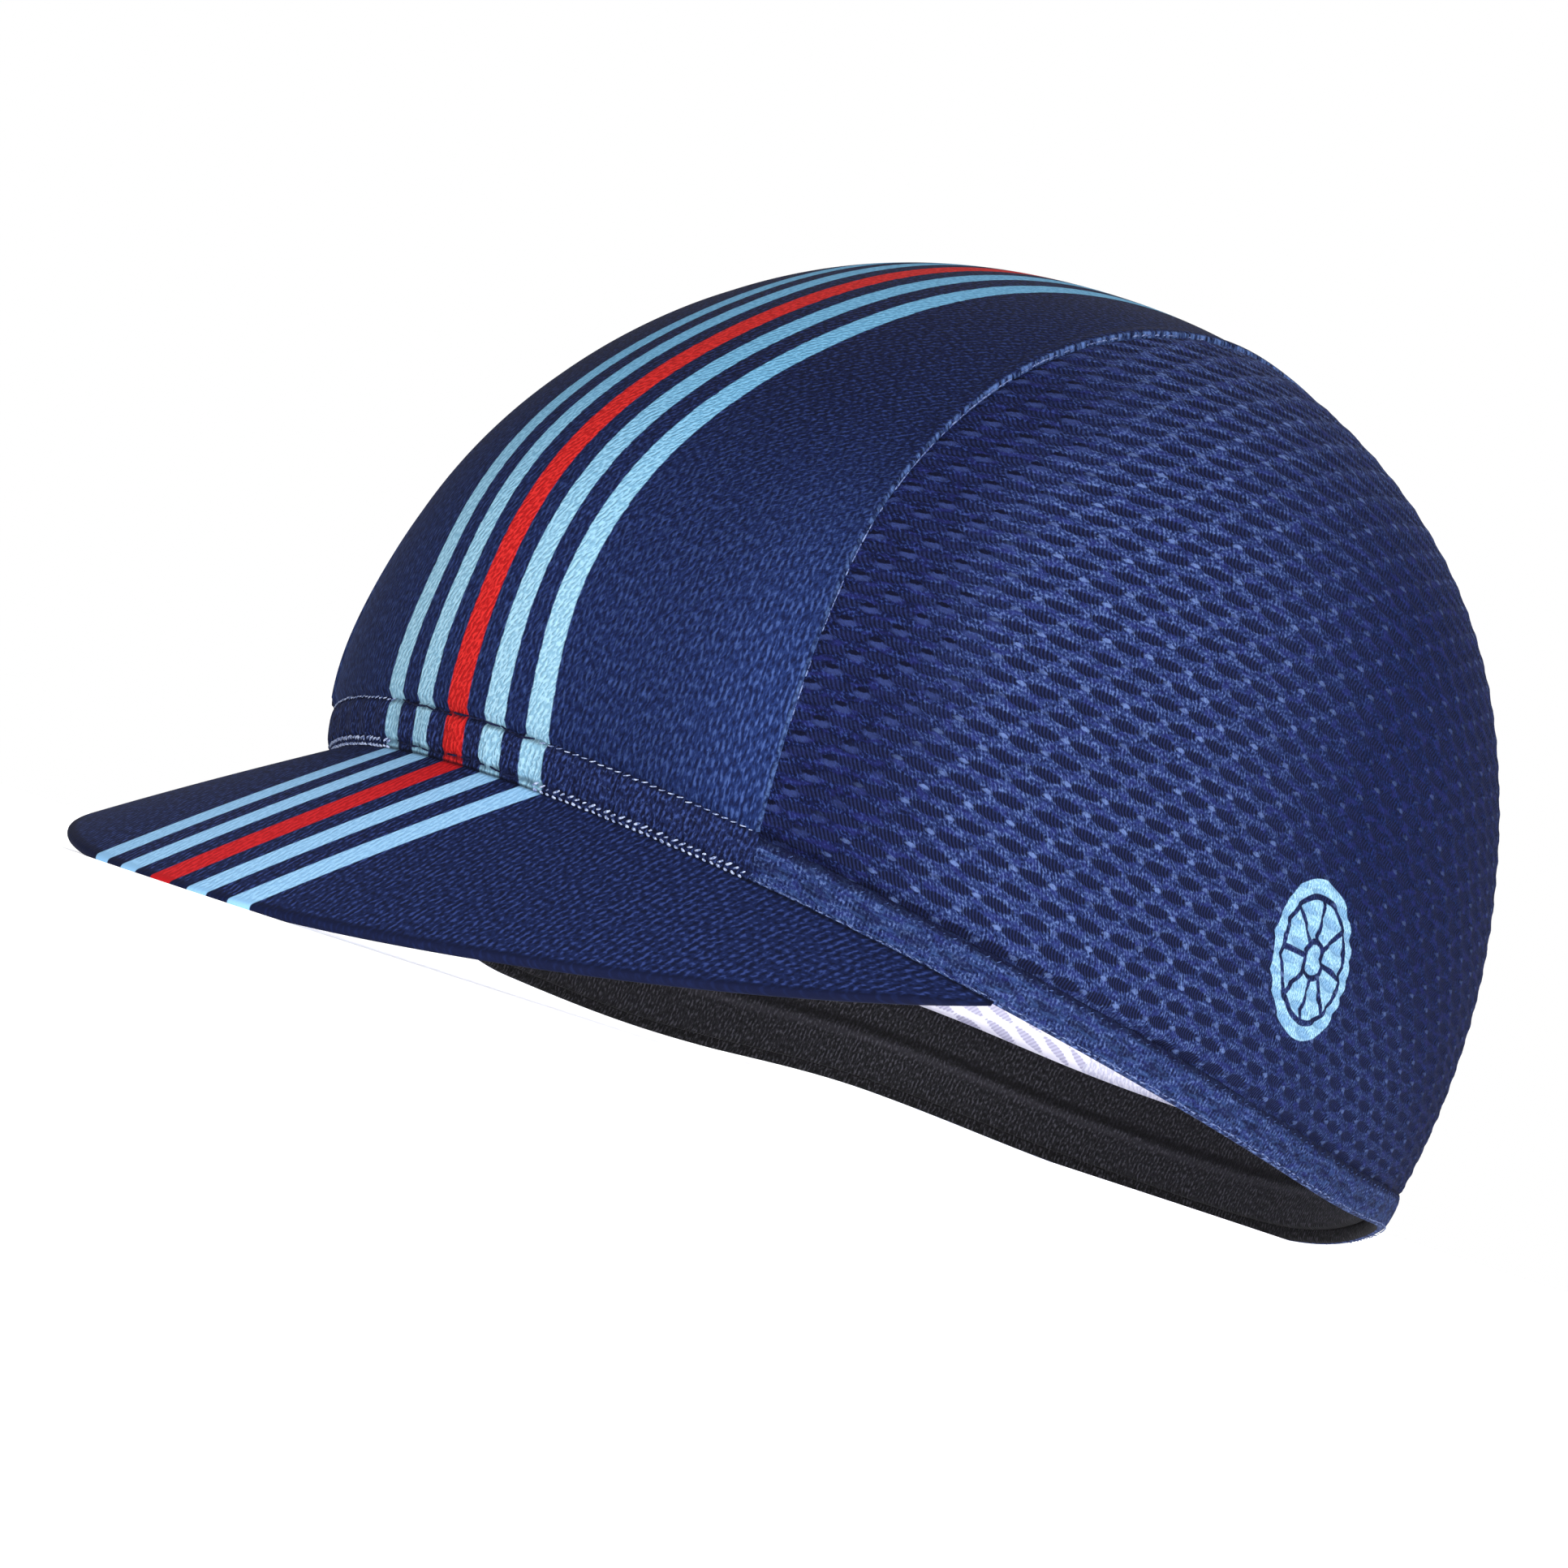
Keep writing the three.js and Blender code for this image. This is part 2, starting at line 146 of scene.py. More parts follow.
# The peak
PEAK_END_TURN = 59.8
PEAK_REACH = 0.041
PEAK_DROP = 0.036
PEAK_CORNER_ROUNDNESS = 0.93
PEAK_DROP_ROUNDNESS = 0.91
PEAK_CAMBER = 0.0003
PEAK_THICKNESS = 0.0024
PEAK_EDGE_THICKNESS = 0.0015
PEAK_TUCK = 0.0014
PEAK_TUCK_SHARE = 0.8
PEAK_OVERLAP = 0.0005
PEAK_END_SHARE = 0.996
PEAK_END_TAPER = 0.012
PEAK_END_THIN = 0.2
PEAK_STATIONS = 280
PEAK_ROWS = 52
PEAK_ROUND = 7

# The rest: the cap pitches back until the hem's back and the peak's edge are level and pressed
REST_PITCH = math.atan2(PEAK_DROP, RIM_FRONT + PEAK_REACH + RIM_BACK)
REST_PRESS = 0.0007

# How far the soft rim hangs down on the wearer's right, and where that starts and is full
SAG_AT_BACK = 0.0022
SAG_SLOPE = 0.082
SAG_REACH = 0.075
SAG_ASIDE = (0.15, 0.7)
SAG_BEHIND_PEAK = (-0.054, 0.004)

# The mesh cloth's rows of oval dimples, which bend over the panel
OVAL_SPACING = 0.00753
OVAL_ROW_SPACING = 0.0029
OVAL_LENGTH = 0.0062
OVAL_WIDTH = 0.0016
DIMPLE_SPREAD = 1.25
DIMPLE_DEPTH = 0.0005
PAD_HEIGHT = 0.00018
PAD_HALF_LENGTH = 0.0016
PAD_HALF_WIDTH = 0.0012
ROW_BEND = 3.0
ROW_BEND_FROM = 0.005
FRONT_ROW_BEND = 2.8
FRONT_ROW_BEND_FROM = -0.045
REAR_ROW_BEND = 3.2
STEPS_PER_OVAL = 9
STEPS_PER_ROW = 5
SIDE_HALF_SPAN = 0.15
SIDE_MIDDLE_ASIDE = 58
FLAT_RAYS = 361
FLAT_STEPS = 300
FLAT_REACH = 88
FLAT_SAFE_SHARE = 0.98

# The printed stripes, by their distance from the middle
STRIPE_PITCH = 0.0075
STRIPE_WIDTH_BLUE = 0.0037
STRIPE_WIDTH_RED = 0.0042
STRIPE_EDGE = 0.00012
STRIPE_STEP = 0.0011
STRIPES_CLOSER_UP = 0.107
STRIPES_CLOSER_OVER = 0.025
STRIPES_END_TURN = 10.8

# The printed disc on the left side
DISC_PLACE = (-0.0025, -0.0355)
DISC_RADIUS = 0.0123
DISC_RING = 0.0096
DISC_HUB = 0.0028
DISC_LINE = 0.0010
DISC_EDGE = 0.0001
DISC_SPOKES = 8

# Rows of stitches by height up the rim. Each stitch leans up by a share of its length
BAND_ROW_LOW, BAND_ROW_HIGH = (BAND_HEIGHT * share for share in BAND_STITCH_ROWS)
STITCHES = (
    {"name": "band_stitches_dark_low", "where": "over_stripes", "height": BAND_ROW_LOW, "lean": 0,
     "outset": 0.0010, "length": 0.0026, "pitch": 0.0030, "radius": 0.00014, "thread": "dark"},
    {"name": "band_stitches_dark_high", "where": "over_stripes", "height": BAND_ROW_HIGH, "lean": 0,
     "outset": 0.0011, "length": 0.0030, "pitch": 0.0032, "radius": 0.00016, "thread": "dark"},
    {"name": "band_stitches_high", "where": "beside_stripes", "height": BAND_ROW_HIGH, "lean": 0.3,
     "outset": 0.0010, "length": 0.0009, "pitch": 0.0014, "radius": 0.00011, "thread": "silver"},
    {"name": "band_stitches_low", "where": "beside_stripes", "height": BAND_ROW_LOW, "lean": 0.8,
     "outset": 0.0009, "length": 0.0008, "pitch": 0.0012, "radius": 0.00018, "thread": "silver"},
    {"name": "band_stitches_lip", "where": "beside_stripes", "height": BAND_ROW_LOW - 0.0008, "lean": -0.4,
     "outset": 0.0007, "length": 0.0007, "pitch": 0.0011, "radius": 0.0002, "thread": "silver"},
    {"name": "hem_stitches_low", "where": "round_back", "height": 0.0006, "lean": 0,
     "outset": 0.00035, "length": 0.0010, "pitch": 0.0016, "radius": 0.00009, "thread": "pale"},
    {"name": "hem_stitches_high", "where": "round_back", "height": HEM_HEIGHT * 0.93, "lean": 0.6,
     "outset": 0.0, "length": 0.0006, "pitch": 0.0019, "radius": 0.00009, "thread": "hem"},
)
STITCH_UNEVENNESS = 0.12
STITCH_SIZES = (0.8, 1.15)
STITCH_ARCH = 1.2
STRAND_POINTS = 6
STRAND_SIDES = 6
STRAND_TIP = 0.12

# Pale specks of thread along the seams: bearings and spans in degrees
SPECK_BEARINGS = (6, 172)
SPECK_PLACES = 260
SPECK_SHARE = 0.55
SPECK_SPANS = (0.3, 0.8)
SPECK_OUTSET = 0.00005
SPECK_SIZES = (0.00008, 0.00015)
SPECK_SEED = 7

# Tones as a screen shows them, from 0 to 255, with the dark one first
THREAD_TONES = {
    "dark": ((8, 10, 28), (26, 32, 66)),
    "pale": ((44, 58, 110), (120, 136, 178)),
    "hem": ((30, 42, 84), (72, 92, 142)),
    "silver": ((84, 100, 146), (182, 194, 224)),
}
NAVY_TONES = ((4, 8, 30), (8, 16, 50), (34, 48, 95))
# Streaky knit beside the seams, made paler by painted sheen
NAVY_SEAM_SHEEN_TONES = ((14, 24, 60), (27, 44, 93), (62, 84, 140))
BAND_TONES = ((10, 15, 42), (21, 31, 70), (48, 64, 116))
PEAK_TONES = ((10, 17, 46), (19, 30, 70), (46, 62, 118))
MESH_TONES = ((11, 18, 52), (33, 47, 94), (80, 100, 150))
# Painted shade: darker mesh tones by the seam ahead and at the back
MESH_SEAM_SHADE_TONES = ((4, 8, 32), (9, 17, 55), (38, 54, 106))
MESH_BACK_SHADE_TONES = ((6, 14, 45), (10, 22, 61), (21, 38, 89))
ELASTIC_TONES = ((10, 10, 12), (21, 21, 23), (50, 49, 54))
BLUE_TONES = ((90, 146, 182), (112, 170, 206))
BLUE_LOW_TONES = ((120, 162, 186), (152, 192, 212))
PEAK_BLUE_TONES = ((136, 184, 224), (154, 202, 240))
RED_TONES = ((162, 20, 22), (202, 40, 38))
PEAK_RED_TONES = ((176, 20, 28), (206, 34, 40))
INSIDE_TONES = ((205, 206, 222), (236, 236, 244))
OVAL_TONES = ((6, 8, 27), (25, 34, 74))
OVAL_INSIDE_TONES = ((178, 176, 198), (206, 204, 222))
DISC_TONES = ((126, 172, 204), (158, 200, 230))
DISC_OVAL_TONE = (84, 128, 176)
# Pale specks at the seam's edge, partly a painted highlight on its raised lip
SEAM_SPECK_AND_HIGHLIGHT_TONE = (80, 106, 160)
BAND_FLECK_TONE = (84, 102, 150)
# Painted shadow at the band's foot, and painted shade along its rows of stitches
BAND_FOOT_SHADOW_TONE = (4, 6, 22)
BAND_STITCH_SHADE_TONE = (5, 8, 28)
# Painted shadow at the peak's root, under the band
PEAK_ROOT_SHADOW_TONE = (3, 5, 20)
MESH_MOTTLE_TONE = (36, 40, 108)
# Painted light just below each painted slit shadow
MESH_LIT_SMUDGE_TONE = (42, 54, 100)
# Painted highlights on the raised pads between the ovals
MESH_PAD_HIGHLIGHT_TONE = (90, 110, 161)
# Painted shadow in the slits between the ovals
MESH_SLIT_SHADOW_TONE = (4, 7, 32)
# Painted shade in the groove at the mesh's foot, above the hem
MESH_FOOT_SHADE_TONE = (9, 12, 40)
MESH_INSIDE_TONE = (246, 245, 252)
HEM_OVAL_TONE = (12, 16, 42)
HEM_STREAK_TONE = (50, 74, 124)
HEM_DIP_TONE = (12, 18, 48)
# Painted shade at the hem's fold
HEM_FOLD_SHADE_TONE = (9, 12, 38)
HEM_FLECK_TONE = (100, 120, 170)
# Painted shade in the elastic's groove and a painted highlight on its ridge
GROOVE_SHADE_TONE = (4, 4, 5)
RIDGE_HIGHLIGHT_TONE = (48, 47, 52)
TONE_STEPS = (0.15, 0.55, 0.95)

# Knits: the size of their dashes, how far these slant, and the share of their regular pitch
PLAIN_KNIT = {"width": 0.0004, "length": 0.0008, "slant": -0.35, "even": 0.3, "depth": 0.00016}
INSIDE_KNIT = {"width": 0.0004, "length": 0.0008, "slant": -0.35, "even": 0.3, "depth": 0.00015}
SEAM_KNIT = {"width": 0.00042, "length": 0.0013, "slant": 0.0, "even": 0.3}
BAND_KNIT = {"width": 0.0004, "length": 0.0008, "slant": -0.2, "even": 0.3, "depth": 0.0002}
PEAK_TWILL = {"width": 0.00038, "length": 0.0012, "slant": -0.22, "even": 0.4, "depth": 0.00007}
ELASTIC_KNIT = {"width": 0.00035, "length": 0.0007, "slant": 0.0, "even": 0.3, "depth": 0.00018}

# Patches of noise: the size of the grains both ways, and the noise where a patch is 0 and 1
GRAIN = {"across": 0.00042, "along": 0.0005, "low": 0.25, "high": 0.75}
BROAD = {"across": 0.0028, "along": 0.0014}
RAGGED = {"across": 0.0003, "along": 0.0011}
MOTTLE = {"across": 0.0022, "along": 0.0012, "detail": 1.0, "low": 0.45, "high": 0.7}
# Patches where the painted pad highlights show
PAD_HIGHLIGHT_PATCHES = {"across": 0.005, "along": 0.0024, "low": 0.34, "high": 0.62}
# Streaks that fray the painted shade at the mesh's foot
FOOT_SHADE_STREAKS = {"across": 0.0022, "along": 0.0007}
HEM_STREAKS = {"across": 0.0022, "along": 0.0007, "detail": 3.0, "low": 0.46, "high": 0.7}
HEM_DIPS = {"across": 0.0009, "along": 0.0030, "low": 0.52, "high": 0.7}
HEM_FLECKS = {"across": 0.0009, "along": 0.0004, "low": 0.5, "high": 0.66}
# Patches of pale specks and painted highlight at the seam's edge
SEAM_SPECKS_AND_HIGHLIGHT = {"across": 0.0012, "along": 0.0010, "detail": 3.0, "low": 0.38, "high": 0.68}
BAND_FLECKS = {"across": 0.0008, "along": 0.0005, "detail": 3.0, "low": 0.6, "high": 0.8}
STRIPE_RAGS = {"across": 0.004, "along": 0.0009}

# Marks of the mesh: their size, how far they lie below their row, and how sharp they are
OVAL = {"length": OVAL_LENGTH, "width": OVAL_WIDTH, "drop": 0.0, "sharp": 0.75}
OVAL_INSIDE = {"length": OVAL_LENGTH, "width": OVAL_WIDTH, "drop": 0.0, "sharp": 0.9}
# Painted light below each slit shadow
LIT_SMUDGE = {"length": 0.0030, "width": 0.0016, "drop": 0.0007, "sharp": 0.3}
# Painted highlights on the pads
PAD_HIGHLIGHT = {"length": 0.0018, "width": 0.0007, "drop": 0.0, "sharp": 0.5}
# Painted shadow in the slits
SLIT_SHADOW = {"length": 0.0021, "width": 0.0009, "drop": 0.0, "sharp": 0.6}
MARK_EDGE = 1.35
MARK_ROUNDNESS = 1.6
THREAD_PITCH = 0.00066

# Where a look starts and where it is full: by distance from a seam or an edge, by height up a
# strip, or by the place on the flat side panel, ahead being negative and up positive
SEAM_EDGE = (0.0008, 0.0004)
# How far the painted sheen reaches from the seams, and how low on the crown it is full
SEAM_SHEEN_REACH = (0.020, 0.001)
LOW_CROWN_SHEEN = (0.08, 0.015)
HIGH_STRIPES = (0.01, 0.075)
# Painted shadow at the band's foot and painted shade along its stitch rows
BAND_FOOT_SHADOW = (0.0008, 0.0004)
BAND_STITCH_SHADE = (0.0007, 0.0001)
PEAK_EDGE = (0.0014, 0.0003)
# Painted shadow at the peak's root
PEAK_ROOT_SHADOW = (0.0018, 0.0006)
# Where the mesh's painted shade lies: by the seam ahead, and at the back, where it is half as strong at the
# foot and weaker high up
MESH_SEAM_SHADE_REACH = (0.036, 0.010)
MESH_SEAM_SHADE_AHEAD = (-0.035, -0.06)
MESH_BACK_SHADE = (-0.043, 0.006)
MESH_BACK_SHADE_LOW = (-0.045, -0.015)
MESH_BACK_SHADE_HIGH = (0.022, 0.06)
# Where the painted slit shadows lie: by the seam, ahead and high up
SLIT_SHADOWS_BESIDE_SEAM = (0.038, 0.022)
SLIT_SHADOWS_AHEAD = (-0.035, -0.055)
SLIT_SHADOWS_UP = (-0.006, 0.012)
# Where the painted pad highlights fade out by the seam
NO_PAD_HIGHLIGHTS = (0.022, 0.005)
# Painted shade at the mesh's foot, above the hem
MESH_FOOT_SHADE = (0.0034, 0.0014)
# Painted shade at the hem's fold, near its top
HEM_FOLD_SHADE = (HEM_HEIGHT * 0.80, HEM_HEIGHT * 0.98)
HEM_EDGE = (0.0011, 0.0003)
# Painted shade in the elastic's groove and a painted highlight on its ridge
ELASTIC_GROOVE_SHADE = (0.0013, 0.0002)
ELASTIC_RIDGE_HIGHLIGHT = (0.0011, 0.0)

# Half the top panel's run, how far the painted shade at the mesh's foot frays, and the ridge of the elastic
PANEL_HALF_RUN = 0.19
MESH_FOOT_SHADE_STREAK = 0.0022
RIDGE_BELOW_GROOVE = 0.0017

# How deep the bumps are, and how fine the thread's grains
MESH_DEPTH = 0.00028
MESH_INSIDE_DEPTH = 0.0002
HEM_DEPTH_OF_KNIT = 0.00022
THREAD_DEPTH = 0.00005
THREAD_GRAINS_PER_METRE = 2200

# The surroundings
FLOOR_SIZE = 60.0
FLOOR_GLOW = 0.62
SKY_LIGHT = 0.34
SUNS = (
    {"name": "front_sun", "azimuth": 62, "elevation": 12, "strength": 0.9, "softness": 40},
    {"name": "top_sun", "azimuth": 85, "elevation": 55, "strength": 0.8, "softness": 50},
    {"name": "back_sun", "azimuth": 215, "elevation": 40, "strength": 0.8, "softness": 50},
)
# A wide low light beside the camera that reaches under the rim, and a small one under the cap
AREA_LIGHTS = (
    {"name": "low_key", "power": 8.0, "size": (0.5, 0.03), "place": (0.74, -0.64, 0.018),
     "aim": (0, 0, 0.018)},
    {"name": "under_light", "power": 0.105, "size": (0.09, 0.13), "place": (0.0, 0.02, 0.001),
     "aim": (0.0, 0.02, 1.001)},
)

# The camera stands to the cap as it did for the photograph, just above the floor
CAMERA_PLACE = (0.665, -0.7136, 0.006)
CAMERA_AIM = (-0.0146, 0.0021, 0.0434)
CAMERA_ROLL = -18
CAMERA_LENS = 146.3
CAMERA_SENSOR = 36
CAMERA_CLIP = 0.05

# How finely the surfaces are measured and shaded
PROBE_DEGREES = 0.05
PROBE_DEPTH = 0.004
SPECK_PROBE_DEPTH = 0.003
FINE_STEPS = 2000
RIM_FINE_STEPS = 4000
CREASE_DEGREES = 50


# Curves and surfaces


def natural_spline(table, key, column):
    """The natural cubic spline through one column of a table over another."""
    x = np.array([row[key] for row in table], float)
    y = np.array([row[column] for row in table], float)
    count = len(x)
    width = np.diff(x)
    slope = np.diff(y) / width
    matrix = np.eye(count)
    right = np.zeros(count)
    for i in range(1, count - 1):
        matrix[i, i - 1:i + 2] = width[i - 1], 2 * (width[i - 1] + width[i]), width[i]
        right[i] = 6 * (slope[i] - slope[i - 1])
    bend = np.linalg.solve(matrix, right)

    def curve(at):
        i = np.clip(np.searchsorted(x, at, side="right") - 1, 0, count - 2)
        b = (at - x[i]) / width[i]
        a = 1 - b
        cubic = (a ** 3 - a) * bend[i] + (b ** 3 - b) * bend[i + 1]
        return a * y[i] + b * y[i + 1] + cubic * width[i] ** 2 / 6

    return curve


front_fullness = natural_spline(FULLNESS, "lift", "front")
back_fullness = natural_spline(FULLNESS, "lift", "back")
side_fullness = natural_spline(FULLNESS, "lift", "side")
seam_reach = natural_spline(SEAM, "bearing", "reach")


def sin_of(degrees):
    return np.sin(np.radians(degrees))


def cos_of(degrees):
    return np.cos(np.radians(degrees))


def smooth_step(value, low, high):
    share = np.clip((value - low) / (high - low), 0, 1)
    return share * share * (3 - 2 * share)


def unit(vectors):
    return vectors / np.linalg.norm(vectors, axis=-1, keepdims=True)


def lengths_along(points):
    steps = np.linalg.norm(np.diff(points, axis=0), axis=-1)
    return np.concatenate([np.zeros((1,) + steps.shape[1:]), np.cumsum(steps, axis=0)])


def lift_of_height(height):
    return np.degrees(np.arcsin(height / CROWN_HEIGHT))


def crown_face(turn, lift):
    """The crown's outer face: turn 0 is the front and 90 the wearer's left, lift 90 the top."""
    ahead = cos_of(turn)
    beside = sin_of(turn)
    open_ = cos_of(lift)
    high = sin_of(lift)
    widest = CROWN_TOP_Y + (RIM_WIDEST_Y - CROWN_TOP_Y) * open_
    front = CROWN_TOP_Y - (CROWN_TOP_Y + RIM_FRONT) * open_ * front_fullness(lift)
    back = CROWN_TOP_Y + (RIM_BACK - CROWN_TOP_Y) * open_ * back_fullness(lift)
    rear_lift = np.where(ahead < 0, RIM_REAR_LIFT * sin_of(2 * turn) ** 4, 0)
    rim = rear_lift - RIM_SIDE_DIP * beside ** 2
    x = RIM_HALF_WIDTH * open_ * side_fullness(lift) * beside
    y = widest + np.where(ahead > 0, front - widest, widest - back) * ahead
    z = CROWN_HEIGHT * high + rim * (1 - high)
    return np.stack(np.broadcast_arrays(x, y, z), -1)


def turn_and_lift(aside, ahead):
    """Turn and lift of a place that is given by degrees aside and ahead of the crown's top."""
    return np.degrees(np.arctan2(aside, ahead)), 90 - np.hypot(aside, ahead)


def crown_from_top(aside, ahead):
    return crown_face(*turn_and_lift(aside, ahead))


def crown_inset(aside, ahead, inset=0.0):
    """A point of the crown by degrees aside and ahead of its top, moved in square to its face."""
    step = PROBE_DEGREES
    across = crown_from_top(aside + step, ahead) - crown_from_top(aside - step, ahead)
    along = crown_from_top(aside, ahead + step) - crown_from_top(aside, ahead - step)
    inward = unit(np.cross(across, along))
    return crown_from_top(aside, ahead) + inward * np.asarray(inset)[..., None]


def crown_point(turn, lift, inset=0.0):
    away = 90 - lift
    return crown_inset(away * sin_of(turn), away * cos_of(turn), inset)


def seam_place(bearing):
    """Turn and lift of the seam at a bearing."""
    reach = seam_reach(bearing)
    return 90 - reach * cos_of(bearing), reach * sin_of(bearing)


def seam_point(bearing):
    return crown_point(*seam_place(bearing))


def seam_bearing(lift, at_back):
    """The bearing at which the seam crosses a lift, in front or at the back."""
    bearings = np.linspace(0, 60, 6001)
    if at_back:
        bearings = 180 - bearings
    return float(np.interp(lift, seam_place(bearings)[1], bearings))


def even_steps(point_at, first, last, count):
    """Values from first to last whose points lie at equal distances along the curve."""
    fine = np.linspace(first, last, FINE_STEPS)
    length = lengths_along(point_at(fine))
    return np.interp(np.linspace(0, length[-1], count + 1), length, fine)


BAND_TOP = float(lift_of_height(BAND_HEIGHT - BAND_UNDER_PANEL))
HEM_TOP = float(lift_of_height(HEM_HEIGHT - HEM_UNDER_PANEL))
BAND_END_TURN = float(seam_place(seam_bearing(BAND_TOP, False))[0])


def pitched(points):
    x, y, z = np.moveaxis(points, -1, 0)
    up = z * math.cos(REST_PITCH) + (RIM_BACK - y) * math.sin(REST_PITCH) - REST_PRESS
    back = y * math.cos(REST_PITCH) + z * math.sin(REST_PITCH)
    return np.stack([x, back, np.maximum(0, up)], -1)


def rest_shift():
    """How far the solids stand from the cap's own frame: their middle is at y = 0."""
    rear = pitched(crown_face(180.0, np.linspace(0, 60, 400)))[:, 1].max()
    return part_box("centre_panel")[1].y - rear


REST_SHIFT = rest_shift()


def sagged(points):
    """The soft cloth hangs lower on the wearer's right, down towards the floor."""
    x, y, z = np.moveaxis(points, -1, 0)
    aside = smooth_step(-x / RIM_HALF_WIDTH, *SAG_ASIDE)
    behind_peak = smooth_step(y, *SAG_BEHIND_PEAK)
    low = np.clip(1 - z / SAG_REACH, 0, 1) ** 2
    sag = np.clip(SAG_AT_BACK + SAG_SLOPE * (RIM_BACK - y), 0, None) * aside * behind_peak * low
    return np.stack([x, y, z - sag], -1)


def settle(points):
    """Takes points from the cap's own frame to where the cap rests."""
    return pitched(sagged(points)) + np.array([0, REST_SHIFT, 0])


def swelling(aside, ahead):
    """How far the cloth swells, the same for every panel so that seams stay closed: faint gathers
    above the elastic rim, a slow wave over the crown and a puff above the forehead band."""
    turn, lift = turn_and_lift(aside, ahead)
    near_rim = np.exp(-np.clip(lift - 3, 0, None) / 5.0) * smooth_step(lift, 1.5, 4)
    ripple = sum(wave["share"] * sin_of(turn * wave["count"] + wave["start"]) for wave in GATHER_WAVES)
    gathers = GATHER_DEPTH * near_rim * ripple * (0.4 + 0.6 * sin_of(turn) ** 2)
    slow = sin_of(turn * 3 + 70) * sin_of(lift * 4 + 20)
    body = smooth_step(lift, 6, 25) * smooth_step(90 - lift, 2, 15)
    in_front = smooth_step(cos_of(turn), -0.2, 0.5)
    above_band = smooth_step(lift, BAND_TOP, BAND_TOP + 0.9)
    puff = FRONT_PUFF * in_front * np.exp(-((lift - 4) / 7) ** 2) * above_band
    return gathers + SLOW_SWELL * slow * body + puff


# Meshes


def new_piece(name, points, faces, materials, slots=None, uvs=None):
    """A smooth mesh object that rides on the cap, with uv maps in metres."""
    mesh = bpy.data.meshes.new(name)
    mesh.from_pydata(points.reshape(-1, 3).tolist(), [], faces)
    corners = np.zeros(len(mesh.loops), np.int32)
    mesh.loops.foreach_get("vertex_index", corners)
    for title, places in (uvs or {}).items():
        layer = mesh.uv_layers.new(name=title)
        layer.data.foreach_set("uv", places.reshape(-1, 2)[corners].astype(np.float32).ravel())
    for material in materials:
        mesh.materials.append(material)
    if slots is not None:
        mesh.polygons.foreach_set("material_index", np.asarray(slots, np.int32))
    mesh.shade_smooth()
    mesh.set_sharp_from_angle(angle=math.radians(CREASE_DEGREES))
    mesh.update()
    piece = bpy.data.objects.new(name, mesh)
    bpy.context.scene.collection.objects.link(piece)
    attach(piece, "root")
    return piece


def ring_faces(stations, around, closed):
    """Quads between rings of points, and a cap on each end unless the rings join up."""
    spans = stations if closed else stations - 1
    i, j = np.meshgrid(np.arange(spans), np.arange(around), indexing="ij")
    next_i = (i + 1) % stations
    next_j = (j + 1) % around
    corners = (i * around + j, next_i * around + j, next_i * around + next_j, i * around + next_j)
    quads = np.stack([c.ravel() for c in corners], -1).tolist()
    if closed:
        return quads, [], j.ravel()
    first = list(range(around))
    last = [(stations - 1) * around + k for k in reversed(first)]
    return quads, [first, last], j.ravel()


def ring_piece(name, rings, materials, inner=(0, 0), uvs=None, closed=False):
    """A piece of closed rings, (stations, points round, 3). The points in the inner range take
    the second material."""
    stations, around = rings.shape[:2]
    quads, caps, column = ring_faces(stations, around, closed)
    slots = np.zeros(len(quads) + len(caps), int)
    slots[:len(quads)] = (column >= inner[0]) & (column < inner[1])
    return new_piece(name, settle(rings), quads + caps, materials, slots, uvs)


def border_edges(faces):
    """The edges that only one face has, in that face's direction."""
    edges = np.concatenate([faces[:, [0, 1]], faces[:, [1, 2]], faces[:, [2, 3]], faces[:, [3, 0]]])
    keys = np.sort(edges, 1)
    _, first, counts = np.unique(keys, axis=0, return_index=True, return_counts=True)
    return edges[first[counts == 1]]


# The top panel


def centre_rows():
    """Degrees aside and ahead of the crown's top, row by row from the forehead to the nape."""
    first = seam_bearing(BAND_TOP, False)
    last = seam_bearing(HEM_TOP, True)
    bearing = even_steps(seam_point, first, last, CENTRE_ROWS)
    turn, lift = seam_place(bearing)
    away = (90 - lift)[:, None]
    facing = np.where(bearing < 90, 1, -1)[:, None]
    sweep = np.where(bearing < 90, turn, 180 - turn)[:, None]
    spread = np.linspace(-1, 1, CENTRE_COLUMNS + 1)
    across = (1 - COLUMN_CROWDING) * spread + COLUMN_CROWDING * np.sin(np.pi / 2 * spread)
    straight = smooth_step(lift, LEVEL_ROWS_BELOW, STRAIGHT_ROWS_ABOVE)[:, None]
    level_aside = away * sin_of(across * sweep)
    level_ahead = away * cos_of(across * sweep)
    flat_aside = across * away * sin_of(sweep)
    flat_ahead = away * cos_of(sweep) * np.ones_like(across)
    aside = level_aside + (flat_aside - level_aside) * straight
    ahead = facing * (level_ahead + (flat_ahead - level_ahead) * straight)
    return aside, ahead


def stripe_offset(points, along):
    """Where a point lies across the stripes, which draw a little closer above the forehead."""
    closer = 1 - STRIPES_CLOSER_UP * smooth_step(along, 0, STRIPES_CLOSER_OVER)
    return points[..., 0] / closer


def round_ring(grid):
    """Spreads a row's values over a ring: the outer face, an edge, the inner face, an edge."""
    right = np.repeat(grid[:, -1:], CENTRE_EDGE_POINTS, 1)
    left = np.repeat(grid[:, :1], CENTRE_EDGE_POINTS, 1)
    return np.concatenate([grid, right, grid[:, ::-1], left], 1)


